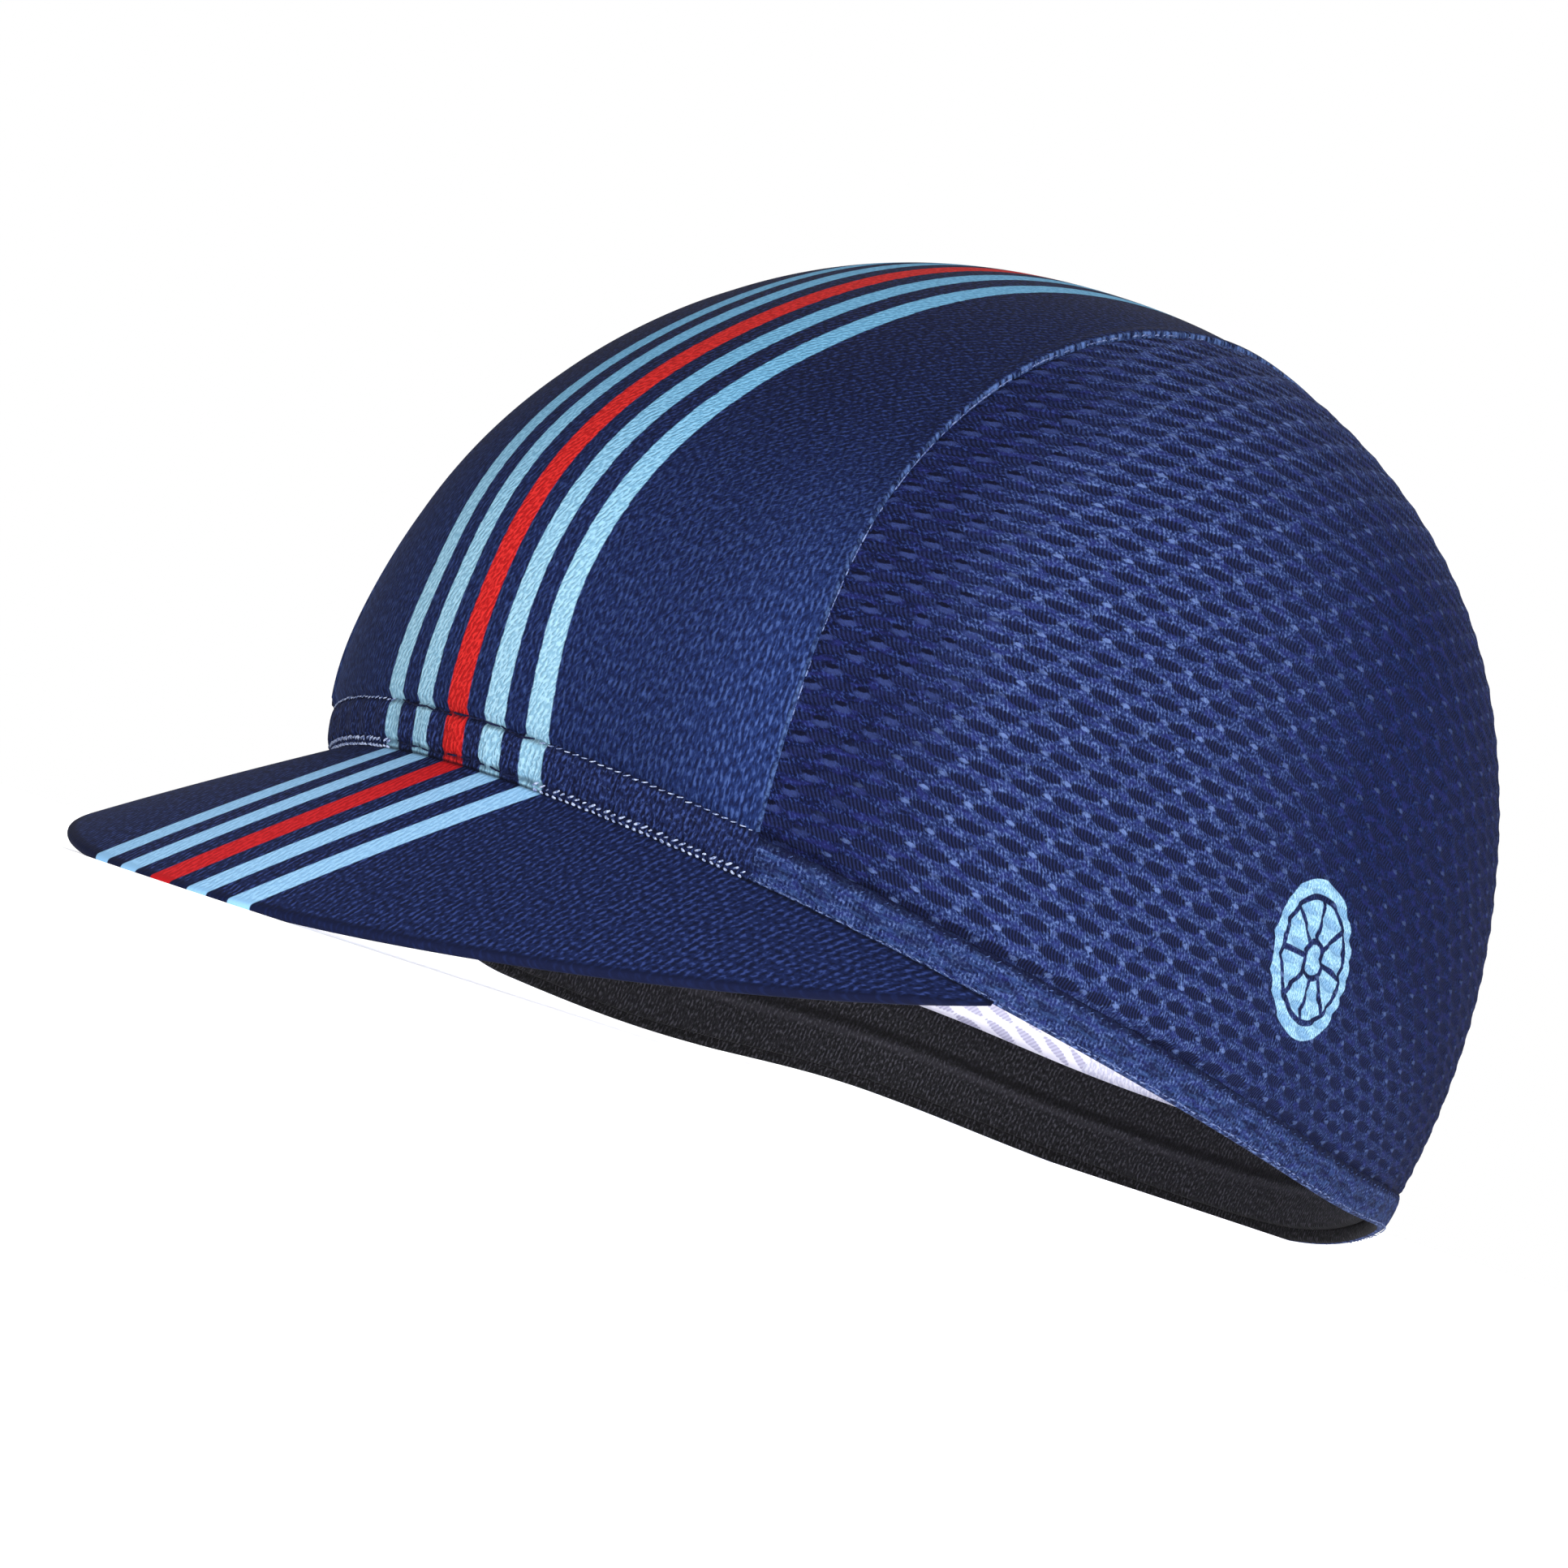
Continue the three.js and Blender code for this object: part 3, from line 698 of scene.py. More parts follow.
def centre_panel(outside, inside):
    aside, ahead = centre_rows()
    flat = crown_inset(aside, ahead)
    across = lengths_along(np.moveaxis(flat, 1, 0)).T
    width = across[:, -1:]
    to_edge = np.minimum(across, width - across)
    lip = SEAM_LIP * np.exp(-((to_edge - 0.45 * SEAM_LIP_WIDTH) / (0.5 * SEAM_LIP_WIDTH)) ** 2)
    turned = np.clip(1 - to_edge / SEAM_ROUNDING, 0, 1)
    rounding = SEAM_ROUNDING * (1 - np.sqrt(1 - turned ** 2))
    swell = swelling(aside, ahead)
    outer = crown_inset(aside, ahead, rounding - lip - swell)
    inner = crown_inset(aside, ahead, PANEL_THICKNESS - swell)
    edge_share = np.linspace(0, 1, CENTRE_EDGE_POINTS + 2)[1:-1][None, :, None]
    right_edge = outer[:, -1:] + (inner[:, -1:] - outer[:, -1:]) * edge_share
    left_edge = inner[:, :1] + (outer[:, :1] - inner[:, :1]) * edge_share
    rings = np.concatenate([outer, right_edge, inner[:, ::-1], left_edge], 1)
    along = lengths_along(flat[:, CENTRE_COLUMNS // 2])[:, None] * np.ones_like(across)
    offsets = {"cloth": across - width / 2, "stripes": stripe_offset(flat, along), "seam": to_edge}
    uvs = {title: round_ring(np.stack([offset, along], -1)) for title, offset in offsets.items()}
    inner_from = CENTRE_COLUMNS + 1 + CENTRE_EDGE_POINTS
    piece = ring_piece("centre_panel_cloth", rings, [outside, inside],
                       (inner_from, inner_from + CENTRE_COLUMNS), uvs)
    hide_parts("centre_panel")


# The mesh side panels


class SideLayout:
    """A side panel laid out flat round its middle, so that the rows of ovals keep their size. It
    takes places on the flat cloth to places on the crown."""

    def __init__(self):
        self.ray = np.linspace(0, 360, FLAT_RAYS)
        reach = np.linspace(0, FLAT_REACH, FLAT_STEPS)
        points = crown_from_top(*self.chart(self.ray[:, None], reach))
        length = lengths_along(np.moveaxis(points, 1, 0)).T
        start = points[:, 1] - points[:, 0]
        up = unit(points[90, 1] - points[90, 0])
        normal = unit(np.cross(points[0, 1] - points[0, 0], up))
        back = np.cross(up, normal)
        self.heading = np.degrees(np.unwrap(np.arctan2(start @ up, start @ back)))
        self.far = length.max()
        even = np.linspace(0, self.far, FLAT_STEPS)
        self.reach_at = np.array([np.interp(even, row, reach) for row in length])

    @staticmethod
    def chart(ray, reach):
        """Degrees aside and ahead of the top. Ray 0 runs to the back and 90 up from the middle."""
        return SIDE_MIDDLE_ASIDE - reach * sin_of(ray), -reach * cos_of(ray)

    def onto_crown(self, u, v):
        """Degrees aside and ahead of the top for a place u to the back and v up the cloth."""
        low = self.heading.min()
        heading = low + (np.degrees(np.arctan2(v, u)) - low) % 360
        order = np.argsort(self.heading)
        ray = np.interp(heading, self.heading[order], self.ray[order])
        step = np.clip(np.hypot(u, v) / self.far * (FLAT_STEPS - 1), 0, FLAT_STEPS - 1.001)
        i = np.clip(ray.astype(int), 0, FLAT_RAYS - 2)
        j = step.astype(int)
        a = ray - i
        b = step - j
        table = self.reach_at
        near = table[i, j] * (1 - b) + table[i, j + 1] * b
        far = table[i + 1, j] * (1 - b) + table[i + 1, j + 1] * b
        return self.chart(ray, near * (1 - a) + far * a)


def mesh_relief(a, b):
    """The relief's height at a place in the rows, and how much of it is in a dimple."""
    row = np.round(b / OVAL_ROW_SPACING)
    cell = a / OVAL_SPACING + 0.5 * (row % 2)
    off_row = (b / OVAL_ROW_SPACING - row) * OVAL_ROW_SPACING
    off_oval = (cell - np.round(cell)) * OVAL_SPACING
    off_pad = (np.abs(cell - np.round(cell)) - 0.5) * OVAL_SPACING
    oval = np.hypot(off_oval / (OVAL_LENGTH / 2), off_row / (OVAL_WIDTH / 2))
    pad = np.hypot(off_pad / PAD_HALF_LENGTH, off_row / PAD_HALF_WIDTH)
    dimple = np.clip(1 - (oval / DIMPLE_SPREAD) ** 2, 0, 1) ** 1.5
    return PAD_HEIGHT * np.clip(1 - pad ** 2, 0, 1) - DIMPLE_DEPTH * dimple, dimple


def clamp_to_panel(aside, ahead):
    """Pulls places past the seam or the hem back onto them, and says which were inside."""
    turn, lift = turn_and_lift(aside, ahead)
    bearing = np.degrees(np.arctan2(lift, 90 - turn))
    reach = np.hypot(90 - turn, lift)
    limit = seam_reach(np.clip(bearing, 0, 180)) + SEAM_TUCK_DEGREES
    inside = (reach < limit) & (lift > HEM_TOP) & (bearing > 0) & (bearing < 180)
    reach = np.minimum(reach, limit)
    turn = 90 - reach * cos_of(bearing)
    lift = np.maximum(reach * sin_of(bearing), HEM_TOP)
    away = 90 - lift
    places = {
        "aside": away * sin_of(turn),
        "ahead": away * cos_of(turn),
        "to_seam": np.clip(limit - reach, 0, None) * METRES_PER_DEGREE,
        "to_hem": (lift - HEM_TOP) * METRES_PER_DEGREE,
    }
    return places, inside


def cell_corners(grid):
    """The values at the four corners of each cell of a grid."""
    return grid[:-1, :-1], grid[1:, :-1], grid[1:, 1:], grid[:-1, 1:]


def side_grid(layout):
    """A grid along the rows of ovals, cut to the panel: the places of its points, and its faces."""
    step_a = OVAL_SPACING / STEPS_PER_OVAL
    step_b = OVAL_ROW_SPACING / STEPS_PER_ROW
    half_a = int(SIDE_HALF_SPAN / step_a)
    half_b = int(SIDE_HALF_SPAN / step_b)
    a, b = np.meshgrid(np.arange(-half_a, half_a + 1) * step_a,
                       np.arange(-half_b, half_b + 1) * step_b, indexing="ij")
    v = b + ROW_BEND * (a - ROW_BEND_FROM) ** 2
    v = v + FRONT_ROW_BEND * np.clip(FRONT_ROW_BEND_FROM - a, 0, None) ** 2
    v = v + REAR_ROW_BEND * np.clip(a, 0, None) ** 2
    places, inside = clamp_to_panel(*layout.onto_crown(a, v))
    places.update(a=a, b=b, v=v)
    near = np.hypot(a, v) < FLAT_SAFE_SHARE * layout.far
    kept = np.any(cell_corners(inside & near), axis=0) & np.all(cell_corners(near), axis=0)
    index = np.arange(a.size).reshape(a.shape)
    quads = np.stack([corner[kept] for corner in cell_corners(index)], -1)
    used, faces = np.unique(quads, return_inverse=True)
    return {key: values.ravel()[used] for key, values in places.items()}, faces.reshape(-1, 4)


def side_panel(side_name, side, layout, outside, inside):
    at, faces = side_grid(layout)
    relief, dimple = mesh_relief(at["a"], at["b"])
    flatten = smooth_step(at["to_seam"], 0, SEAM_DIP_WIDTH)
    groove = np.exp(-((at["to_hem"] - HEM_GROOVE_WIDTH / 2) / (HEM_GROOVE_WIDTH / 2)) ** 2)
    dip = SEAM_DIP * (1 - flatten) + HEM_GROOVE * groove
    swell = swelling(at["aside"], at["ahead"])
    outer = crown_inset(at["aside"], at["ahead"], dip - relief * flatten - swell)
    inner = crown_inset(at["aside"], at["ahead"], PANEL_THICKNESS - MESH_INSIDE_DIMPLE * dimple - swell)
    points = np.concatenate([outer, inner]) * np.array([side, 1, 1])
    count = len(outer)
    edges = border_edges(faces)
    walls = np.stack([edges[:, 1], edges[:, 0], edges[:, 0] + count, edges[:, 1] + count], -1)
    all_faces = np.concatenate([faces[:, ::-1], faces + count, walls[:, ::-1]])
    if side < 0:
        all_faces = all_faces[:, ::-1]
    slots = np.concatenate([np.zeros(len(faces)), np.ones(len(faces)), np.zeros(len(walls))])
    uvs = {}
    for title, keys in (("cloth", ("a", "b")), ("print", ("a", "v")), ("seam", ("to_seam", "to_hem"))):
        uvs[title] = np.tile(np.stack([at[key] for key in keys], -1), (2, 1))
    piece = new_piece(f"side_panel_{side_name}_mesh", settle(points), all_faces.tolist(),
                      [outside, inside], slots, uvs)
    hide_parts(f"side_panel_{side_name}")


# The forehead band, the hem and the elastic


def stitched_relief(strip, along, share, out):
    """Puckers in a strip's outer face, and the dents that its rows of stitches press into it."""
    relief = strip["pucker"] * np.sin(2 * np.pi * along / strip["pucker_pitch"]) * np.sin(np.pi * share)
    holes = 1 - STITCH_HOLE_SHARE + STITCH_HOLE_SHARE * np.cos(2 * np.pi * along / STITCH_PITCH)
    for at in strip["stitch_rows"]:
        relief = relief - strip["stitch_depth"] * np.exp(-((share - at) / STITCH_GROOVE_SHARE) ** 2) * holes
    return relief * (out > 0)


def elastic_relief(strip, along, share, out):
    """A groove along the elastic's inner face and a low ridge below it."""
    groove = np.exp(-((share - ELASTIC_GROOVE_AT) / 0.05) ** 2)
    ridge = np.exp(-((share - ELASTIC_GROOVE_AT + 0.12) / 0.06) ** 2)
    return (groove - 0.25 * ridge) * ELASTIC_GROOVE * (out < 0)


def sewn_strip(node, turns, materials, relief, closer=0.0, closed=False):
    """A strip round the rim with a rounded section, between an outset and an inset."""
    strip = STRIPS[node]
    around = strip["around"]
    outset, inset = strip["outset"], strip["inset"]
    angle = np.linspace(0, 2 * np.pi, around, endpoint=False) - np.pi / 2
    rise, out = (np.sign(wave) * np.abs(wave) ** (2 / strip["squareness"])
                 for wave in (np.sin(angle), np.cos(angle)))
    share = 0.5 + 0.5 * rise
    depth = (inset - outset) / 2 - out * (inset + outset) / 2
    lift = lift_of_height(strip["foot"] + strip["height"] * share)[None, :]
    middle_lift = lift_of_height(strip["foot"] + strip["height"] / 2)
    rim = crown_point(turns, np.full_like(turns, middle_lift))
    along = lengths_along(rim)[:, None] * np.ones_like(share)
    rings = crown_point(turns[:, None], lift, depth - relief(strip, along, share, out))
    up = share * strip["height"] * np.ones_like(along)
    uvs = {"cloth": np.stack([along - along[len(along) // 2], up], -1),
           "stripes": np.stack([rings[..., 0] / (1 - closer), up], -1)}
    inner = (around // 2, around) if len(materials) > 1 else (0, 0)
    piece = ring_piece(strip["piece"], rings, materials, inner, uvs, closed)
    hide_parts(node)


def forehead_band(outside, lining):
    turns = np.linspace(-BAND_END_TURN, BAND_END_TURN, STRIPS["forehead_band"]["stations"])
    sewn_strip("forehead_band", turns, [outside, lining], stitched_relief)


def rim_hem(outside, lining):
    turns = np.linspace(BAND_END_TURN, 360 - BAND_END_TURN, STRIPS["rim_hem"]["stations"])
    sewn_strip("rim_hem", turns, [outside, lining], stitched_relief, STRIPES_CLOSER_UP)


def elastic_band(elastic):
    turns = np.linspace(0, 360, STRIPS["elastic_band"]["stations"], endpoint=False)
    sewn_strip("elastic_band", turns, [elastic], elastic_relief, closed=True)


# The peak


def peak_edge(along):
    """The peak's outline, from -1 at its right end to 1 at its left end."""
    end = crown_point(np.array(PEAK_END_TURN), np.array(0.0))
    ahead = np.clip(np.cos(np.pi / 2 * along), 0, None)
    beside = np.abs(np.sin(np.pi / 2 * along))
    x = np.sign(along) * end[0] * beside ** PEAK_CORNER_ROUNDNESS
    y = end[1] - (RIM_FRONT + PEAK_REACH + end[1]) * ahead ** PEAK_CORNER_ROUNDNESS
    z = end[2] - (PEAK_DROP + end[2]) * ahead ** PEAK_DROP_ROUNDNESS
    return np.stack([x, y, z], -1)


def peak(twill):
    """The peak as rings: its tuck under the band, upper face, rounded edge and lower face."""
    along = PEAK_END_SHARE * np.linspace(-1, 1, PEAK_STATIONS + 1)
    turn = PEAK_END_TURN * along
    level = np.zeros_like(turn)
    root = crown_point(turn, level) + np.array([0, 0, PEAK_OVERLAP])
    tuck = crown_point(turn, level, level + PEAK_TUCK)
    tuck[:, 2] = root[:, 2]
    slope = peak_edge(along) - root
    reach = np.linalg.norm(slope, axis=-1)
    sideways = np.stack([cos_of(turn), sin_of(turn), level], -1)
    normal = unit(np.cross(sideways, slope))
    normal *= np.sign(normal[:, 2:3])
    out = np.linspace(0, 1, PEAK_ROWS + 1)[None, :, None]
    camber = PEAK_CAMBER * 4 * out * (1 - out) * np.minimum(1, reach / PEAK_REACH)[:, None, None]
    end_width = smooth_step(reach, 0, PEAK_END_TAPER)
    taper = (PEAK_END_THIN + (1 - PEAK_END_THIN) * end_width)[:, None, None]
    thickness = (PEAK_THICKNESS + (PEAK_EDGE_THICKNESS - PEAK_THICKNESS) * out) * taper
    on_slope = root[:, None] + slope[:, None] * out
    upper = on_slope + normal[:, None] * (camber + PEAK_EDGE_THICKNESS * out * taper)
    lower = upper - normal[:, None] * thickness
    half = PEAK_EDGE_THICKNESS / 2 * taper
    angle = np.linspace(np.pi / 2, -np.pi / 2, PEAK_ROUND + 2)[1:-1][None, :, None]
    middle = (upper[:, -1:] + lower[:, -1:]) / 2
    outward = unit(slope)[:, None]
    fold = middle + (outward * np.cos(angle) + normal[:, None] * np.sin(angle)) * half
    tuck_low = tuck - np.array([0, 0, PEAK_THICKNESS * PEAK_TUCK_SHARE]) * taper[:, 0]
    rings = np.concatenate([tuck[:, None], upper, fold, lower[:, ::-1], tuck_low[:, None]], 1)
    distance = reach[:, None] * out[..., 0]
    tail = distance[:, -1:] + half[:, :, 0] * (np.pi / 2 - angle[..., 0])
    far = np.concatenate([level[:, None], distance, tail, distance[:, ::-1], level[:, None]], 1)
    near = reach[:, None] - distance
    to_edge = np.concatenate([reach[:, None], near, 0 * tail, near[:, ::-1], reach[:, None]], 1)
    places = np.stack([rings[..., 0], far], -1)
    uvs = {"cloth": places, "stripes": places, "seam": np.stack([to_edge, far], -1)}
    piece = ring_piece("peak_cloth", rings, [twill], uvs=uvs)
    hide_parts("peak")


# Thread: rows of short strands, each row one joined mesh


def strands(name, start, end, outward, arch, radius, material):
    """Short arched strands from start to end points, joined in one mesh."""
    share = np.linspace(0, 1, STRAND_POINTS)
    line = start[:, None] + (end - start)[:, None] * share[:, None]
    line = line + outward[:, None] * (arch[:, None] * np.sin(np.pi * share))[..., None]
    run = unit(end - start)
    side = unit(np.cross(run, outward))
    top = np.cross(side, run)
    angle = np.linspace(0, 2 * np.pi, STRAND_SIDES, endpoint=False)
    inward_share = STRAND_TIP + (1 - 2 * STRAND_TIP) * share
    girth = radius[:, None] * np.sin(np.pi * inward_share) ** 0.5
    spoke = side[:, None, None] * np.cos(angle)[:, None] + top[:, None, None] * np.sin(angle)[:, None]
    points = line[:, :, None] + spoke * girth[:, :, None, None]
    quads, caps, _ = ring_faces(STRAND_POINTS, STRAND_SIDES, False)
    faces = []
    for first in range(0, len(start) * STRAND_POINTS * STRAND_SIDES, STRAND_POINTS * STRAND_SIDES):
        faces += [[corner + first for corner in face] for face in quads + caps]
    piece = new_piece(name, points, faces, [material])


def rim_row(first, last, height, outset, length, pitch):
    """Start and end points and outward directions of a row of stitches round the rim."""

    def at(turn, inset):
        return crown_point(turn, np.full_like(turn, lift_of_height(height)), np.full_like(turn, inset))

    fine = np.linspace(first, last, RIM_FINE_STEPS)
    run = lengths_along(at(fine, -outset))
    starts = np.arange(pitch / 2, run[-1] - length, pitch)
    turn = np.interp(starts, run, fine)
    next_turn = np.interp(starts + length, run, fine)
    start = at(turn, -outset)
    return start, at(next_turn, -outset), unit(start - at(turn, PROBE_DEPTH))


def stitch_row(row, spans, material):
    """One row of the table of stitches, along one or more spans of the rim in degrees of turn."""
    length = row["length"]
    parts = [rim_row(first, last, row["height"], row["outset"], length, row["pitch"])
             for first, last in spans]
    start, end, outward = (np.concatenate(part) for part in zip(*parts))
    random = np.random.default_rng(len(start))
    up = np.array([0, 0, 1])
    uneven = random.uniform(-STITCH_UNEVENNESS, STITCH_UNEVENNESS, (2, len(start), 1)) * length
    start = start + up * (uneven[0] - row["lean"] * length / 2)
    end = end + up * (uneven[1] + row["lean"] * length / 2)
    size = row["radius"] * random.uniform(*STITCH_SIZES, len(start))
    strands(row["name"], settle(start), settle(end), outward, size * STITCH_ARCH, size, material)


def seam_specks(side_name, side, material):
    """Tiny pale strands along the seam, where the white ground of the cloth shows."""
    bearing = even_steps(seam_point, *SPECK_BEARINGS, SPECK_PLACES)
    random = np.random.default_rng(SPECK_SEED + side)
    bearing = bearing[random.random(len(bearing)) < SPECK_SHARE]
    turn, lift = seam_place(bearing)
    end_turn, end_lift = seam_place(bearing + random.uniform(*SPECK_SPANS, len(bearing)))
    start = crown_point(turn, lift, np.full_like(turn, -SPECK_OUTSET))
    end = crown_point(end_turn, end_lift, np.full_like(turn, -SPECK_OUTSET))
    outward = unit(start - crown_point(turn, lift, np.full_like(turn, SPECK_PROBE_DEPTH)))
    mirror = np.array([side, 1, 1])
    size = random.uniform(*SPECK_SIZES, len(bearing))
    strands(f"seam_specks_{side_name}", settle(start * mirror), settle(end * mirror),
            outward * mirror, size, size, material)


def sewing(threads):
    spans = {
        "over_stripes": ((-STRIPES_END_TURN, STRIPES_END_TURN),),
        "beside_stripes": ((-BAND_END_TURN, -STRIPES_END_TURN), (STRIPES_END_TURN, BAND_END_TURN)),
        "round_back": ((BAND_END_TURN, 360 - BAND_END_TURN),),
    }
    for row in STITCHES:
        stitch_row(row, spans[row["where"]], threads[row["thread"]])
    seam_specks("left", 1, threads["pale"])
    seam_specks("right", -1, threads["pale"])


# Materials


def linear(level):
    """A screen's level from 0 to 255 on the shader's linear scale, by the sRGB curve."""
    share = level / 255
    return share / 12.92 if share <= 0.04045 else ((share + 0.055) / 1.055) ** 2.4


class Cloth:
    """A material in the making: short calls make its nodes and join them."""

    def __init__(self, name, roughness=0.9, specular=0.12):
        self.material = bpy.data.materials.new(name)
        self.material.use_nodes = True
        self.tree = self.material.node_tree
        self.shader = self.tree.nodes["Principled BSDF"]
        self.shader.inputs["Roughness"].default_value = roughness
        self.shader.inputs["Specular IOR Level"].default_value = specular

    def join(self, value, socket):
        """Gives a socket another node's output, a tone or a number."""
        if isinstance(value, bpy.types.NodeSocket):
            self.tree.links.new(value, socket)
        elif isinstance(value, tuple):
            socket.default_value = tuple(linear(level) for level in value) + (1.0,)
        else:
            socket.default_value = value

    def math(self, operation, *values):
        node = self.tree.nodes.new("ShaderNodeMath")
        node.operation = operation
        for value, socket in zip(values, node.inputs):
            self.join(value, socket)
        return node.outputs[0]

    def times(self, first, *others):
        for other in others:
            first = self.math("MULTIPLY", first, other)
        return first

    def over(self, value, size):
        return self.math("DIVIDE", value, size)

    def minus(self, first, second):
        return self.math("SUBTRACT", first, second)

    def distance(self, first, second):
        return self.math("ABSOLUTE", self.minus(first, second))

    def plus(self, base, part, weight):
        return self.math("MULTIPLY_ADD", part, weight, base)

    def less(self, mask, strength):
        """1 where a mask is 0, and less by its strength where the mask is 1."""
        return self.plus(1.0, mask, -strength)

    def smooth(self, value, low, high):
        """0 at low, 1 at high and smooth between; low may be the larger of the two."""
        node = self.tree.nodes.new("ShaderNodeMapRange")
        node.interpolation_type = "SMOOTHSTEP"
        for name, given in (("Value", value), ("From Min", low), ("From Max", high)):
            self.join(given, node.inputs[name])
        return node.outputs[0]

    def mix(self, share, first, second):
        node = self.tree.nodes.new("ShaderNodeMix")
        node.data_type = "RGBA"
        for value, socket in ((share, 0), (first, 6), (second, 7)):
            self.join(value, node.inputs[socket])
        return node.outputs[2]

    def place(self, uv_map):
        """The two places of a uv map, in metres."""
        node = self.tree.nodes.new("ShaderNodeUVMap")
        node.uv_map = uv_map
        split = self.tree.nodes.new("ShaderNodeSeparateXYZ")
        self.tree.links.new(node.outputs[0], split.inputs[0])
        return split.outputs[0], split.outputs[1]

    def noise(self, u, v, across, along, detail=2.0):
        """Noise with grains of a size along u and along v, from 0 to 1."""
        combine = self.tree.nodes.new("ShaderNodeCombineXYZ")
        self.join(self.over(u, across), combine.inputs[0])
        self.join(self.over(v, along), combine.inputs[1])
        node = self.tree.nodes.new("ShaderNodeTexNoise")
        node.inputs["Scale"].default_value = 1.0
        node.inputs["Detail"].default_value = detail
        self.tree.links.new(combine.outputs[0], node.inputs["Vector"])
        return node.outputs[0]

    def patches(self, u, v, kind):
        grains = self.noise(u, v, kind["across"], kind["along"], kind.get("detail", 2.0))
        return self.smooth(grains, kind["low"], kind["high"])

    def wave(self, turns):
        """A wave from 0 to 1, once for each whole turn."""
        cosine = self.math("COSINE", self.times(turns, 2 * math.pi))
        return self.math("MULTIPLY_ADD", cosine, -0.5, 0.5)

    def finish(self, shown, height, depth):
        """Colour and relief, with the relief's depth in metres."""
        self.join(shown, self.shader.inputs["Base Color"])
        bump = self.tree.nodes.new("ShaderNodeBump")
        bump.inputs["Strength"].default_value = 1.0
        bump.inputs["Distance"].default_value = depth
        self.join(height, bump.inputs["Height"])
        self.tree.links.new(bump.outputs[0], self.shader.inputs["Normal"])
        return self.material


def knit_lines(cloth, u, v, knit):
    """Fine uneven dashes that run along v, from 0 to 1."""
    width, length, even = knit["width"], knit["length"], knit["even"]
    across = cloth.math("MULTIPLY_ADD", v, knit["slant"], u)
    dashes = cloth.smooth(cloth.noise(across, v, width, length, 1.5), 0.3, 0.7)
    sway = cloth.times(cloth.noise(across, v, width * 6, length * 3), 1.1 * (1 - even))
    lines = cloth.wave(cloth.math("ADD", cloth.over(across, width * 2.1), sway))
    return cloth.math("MULTIPLY_ADD", lines, even, cloth.times(dashes, 1 - even))


def three_tones(cloth, height, tones):
    dark, body, light = tones
    low, middle, high = TONE_STEPS
    lower = cloth.mix(cloth.smooth(height, low, middle), dark, body)
    return cloth.mix(cloth.smooth(height, middle, high), lower, light)


def stripe_masks(cloth, uneven):
    """Where the light blue and red stripes are, with edges that step along the knit."""
    offset, along = cloth.place("stripes")
    steps = cloth.times(cloth.math("FLOOR", cloth.over(along, STRIPE_STEP)), STRIPE_STEP)
    rags = cloth.noise(offset, steps, **STRIPE_RAGS)
    ragged = cloth.math("MULTIPLY_ADD", rags, uneven, -uneven / 2)
    away = cloth.math("ABSOLUTE", cloth.math("ADD", offset, ragged))

    def stripe(from_middle, width):
        return cloth.smooth(from_middle, width / 2 + STRIPE_EDGE, width / 2 - STRIPE_EDGE)

    blue = 0
    for number in (1, 2):
        from_middle = cloth.distance(away, number * STRIPE_PITCH)
        blue = cloth.math("MAXIMUM", stripe(from_middle, STRIPE_WIDTH_BLUE), blue)
    return stripe(away, STRIPE_WIDTH_RED), blue, along


def with_stripes(cloth, body, height, uneven, blue_tones, red_tones, low_blue_tones=None):
    """The stripes over a body's colour, with low blue tones above the forehead where given."""
    red, blue, along = stripe_masks(cloth, uneven)
    share = cloth.smooth(height, 0.3, 0.75)
    cool = cloth.mix(share, *blue_tones)
    if low_blue_tones:
        cool = cloth.mix(cloth.smooth(along, *HIGH_STRIPES), cloth.mix(share, *low_blue_tones), cool)
    warm = cloth.mix(share, *red_tones)
    return cloth.mix(red, cloth.mix(blue, body, cool), warm)


def plain_knit_cloth():
    """Navy knit with printed stripes. It is streakier beside the seams, and painted sheen makes it paler
    there, low down.
    """
    cloth = Cloth("plain_knit_cloth")
    u, v = cloth.place("cloth")
    to_seam, along = cloth.place("seam")
    height = knit_lines(cloth, u, v, PLAIN_KNIT)
    streaks = knit_lines(cloth, to_seam, along, SEAM_KNIT)
    low = cloth.smooth(cloth.math("PINGPONG", along, PANEL_HALF_RUN), *LOW_CROWN_SHEEN)
    # Painted sheen: the streaky knit beside the seams is paler, most of all low down
    near = cloth.plus(0.4, cloth.smooth(to_seam, *SEAM_SHEEN_REACH), 0.5)
    near = cloth.times(near, cloth.plus(0.08, low, 0.92))
    body = three_tones(cloth, height, NAVY_TONES)
    body = cloth.mix(near, body, three_tones(cloth, streaks, NAVY_SEAM_SHEEN_TONES))
    # Pale specks at the seam's edge, partly a painted highlight along its raised lip
    flecks_and_highlights = cloth.patches(to_seam, along, SEAM_SPECKS_AND_HIGHLIGHT)
    body = cloth.mix(cloth.times(cloth.smooth(to_seam, *SEAM_EDGE), flecks_and_highlights), body, SEAM_SPECK_AND_HIGHLIGHT_TONE)
    shown = with_stripes(cloth, body, height, 0.0004, BLUE_TONES, RED_TONES, BLUE_LOW_TONES)
    return cloth.finish(shown, height, PLAIN_KNIT["depth"])


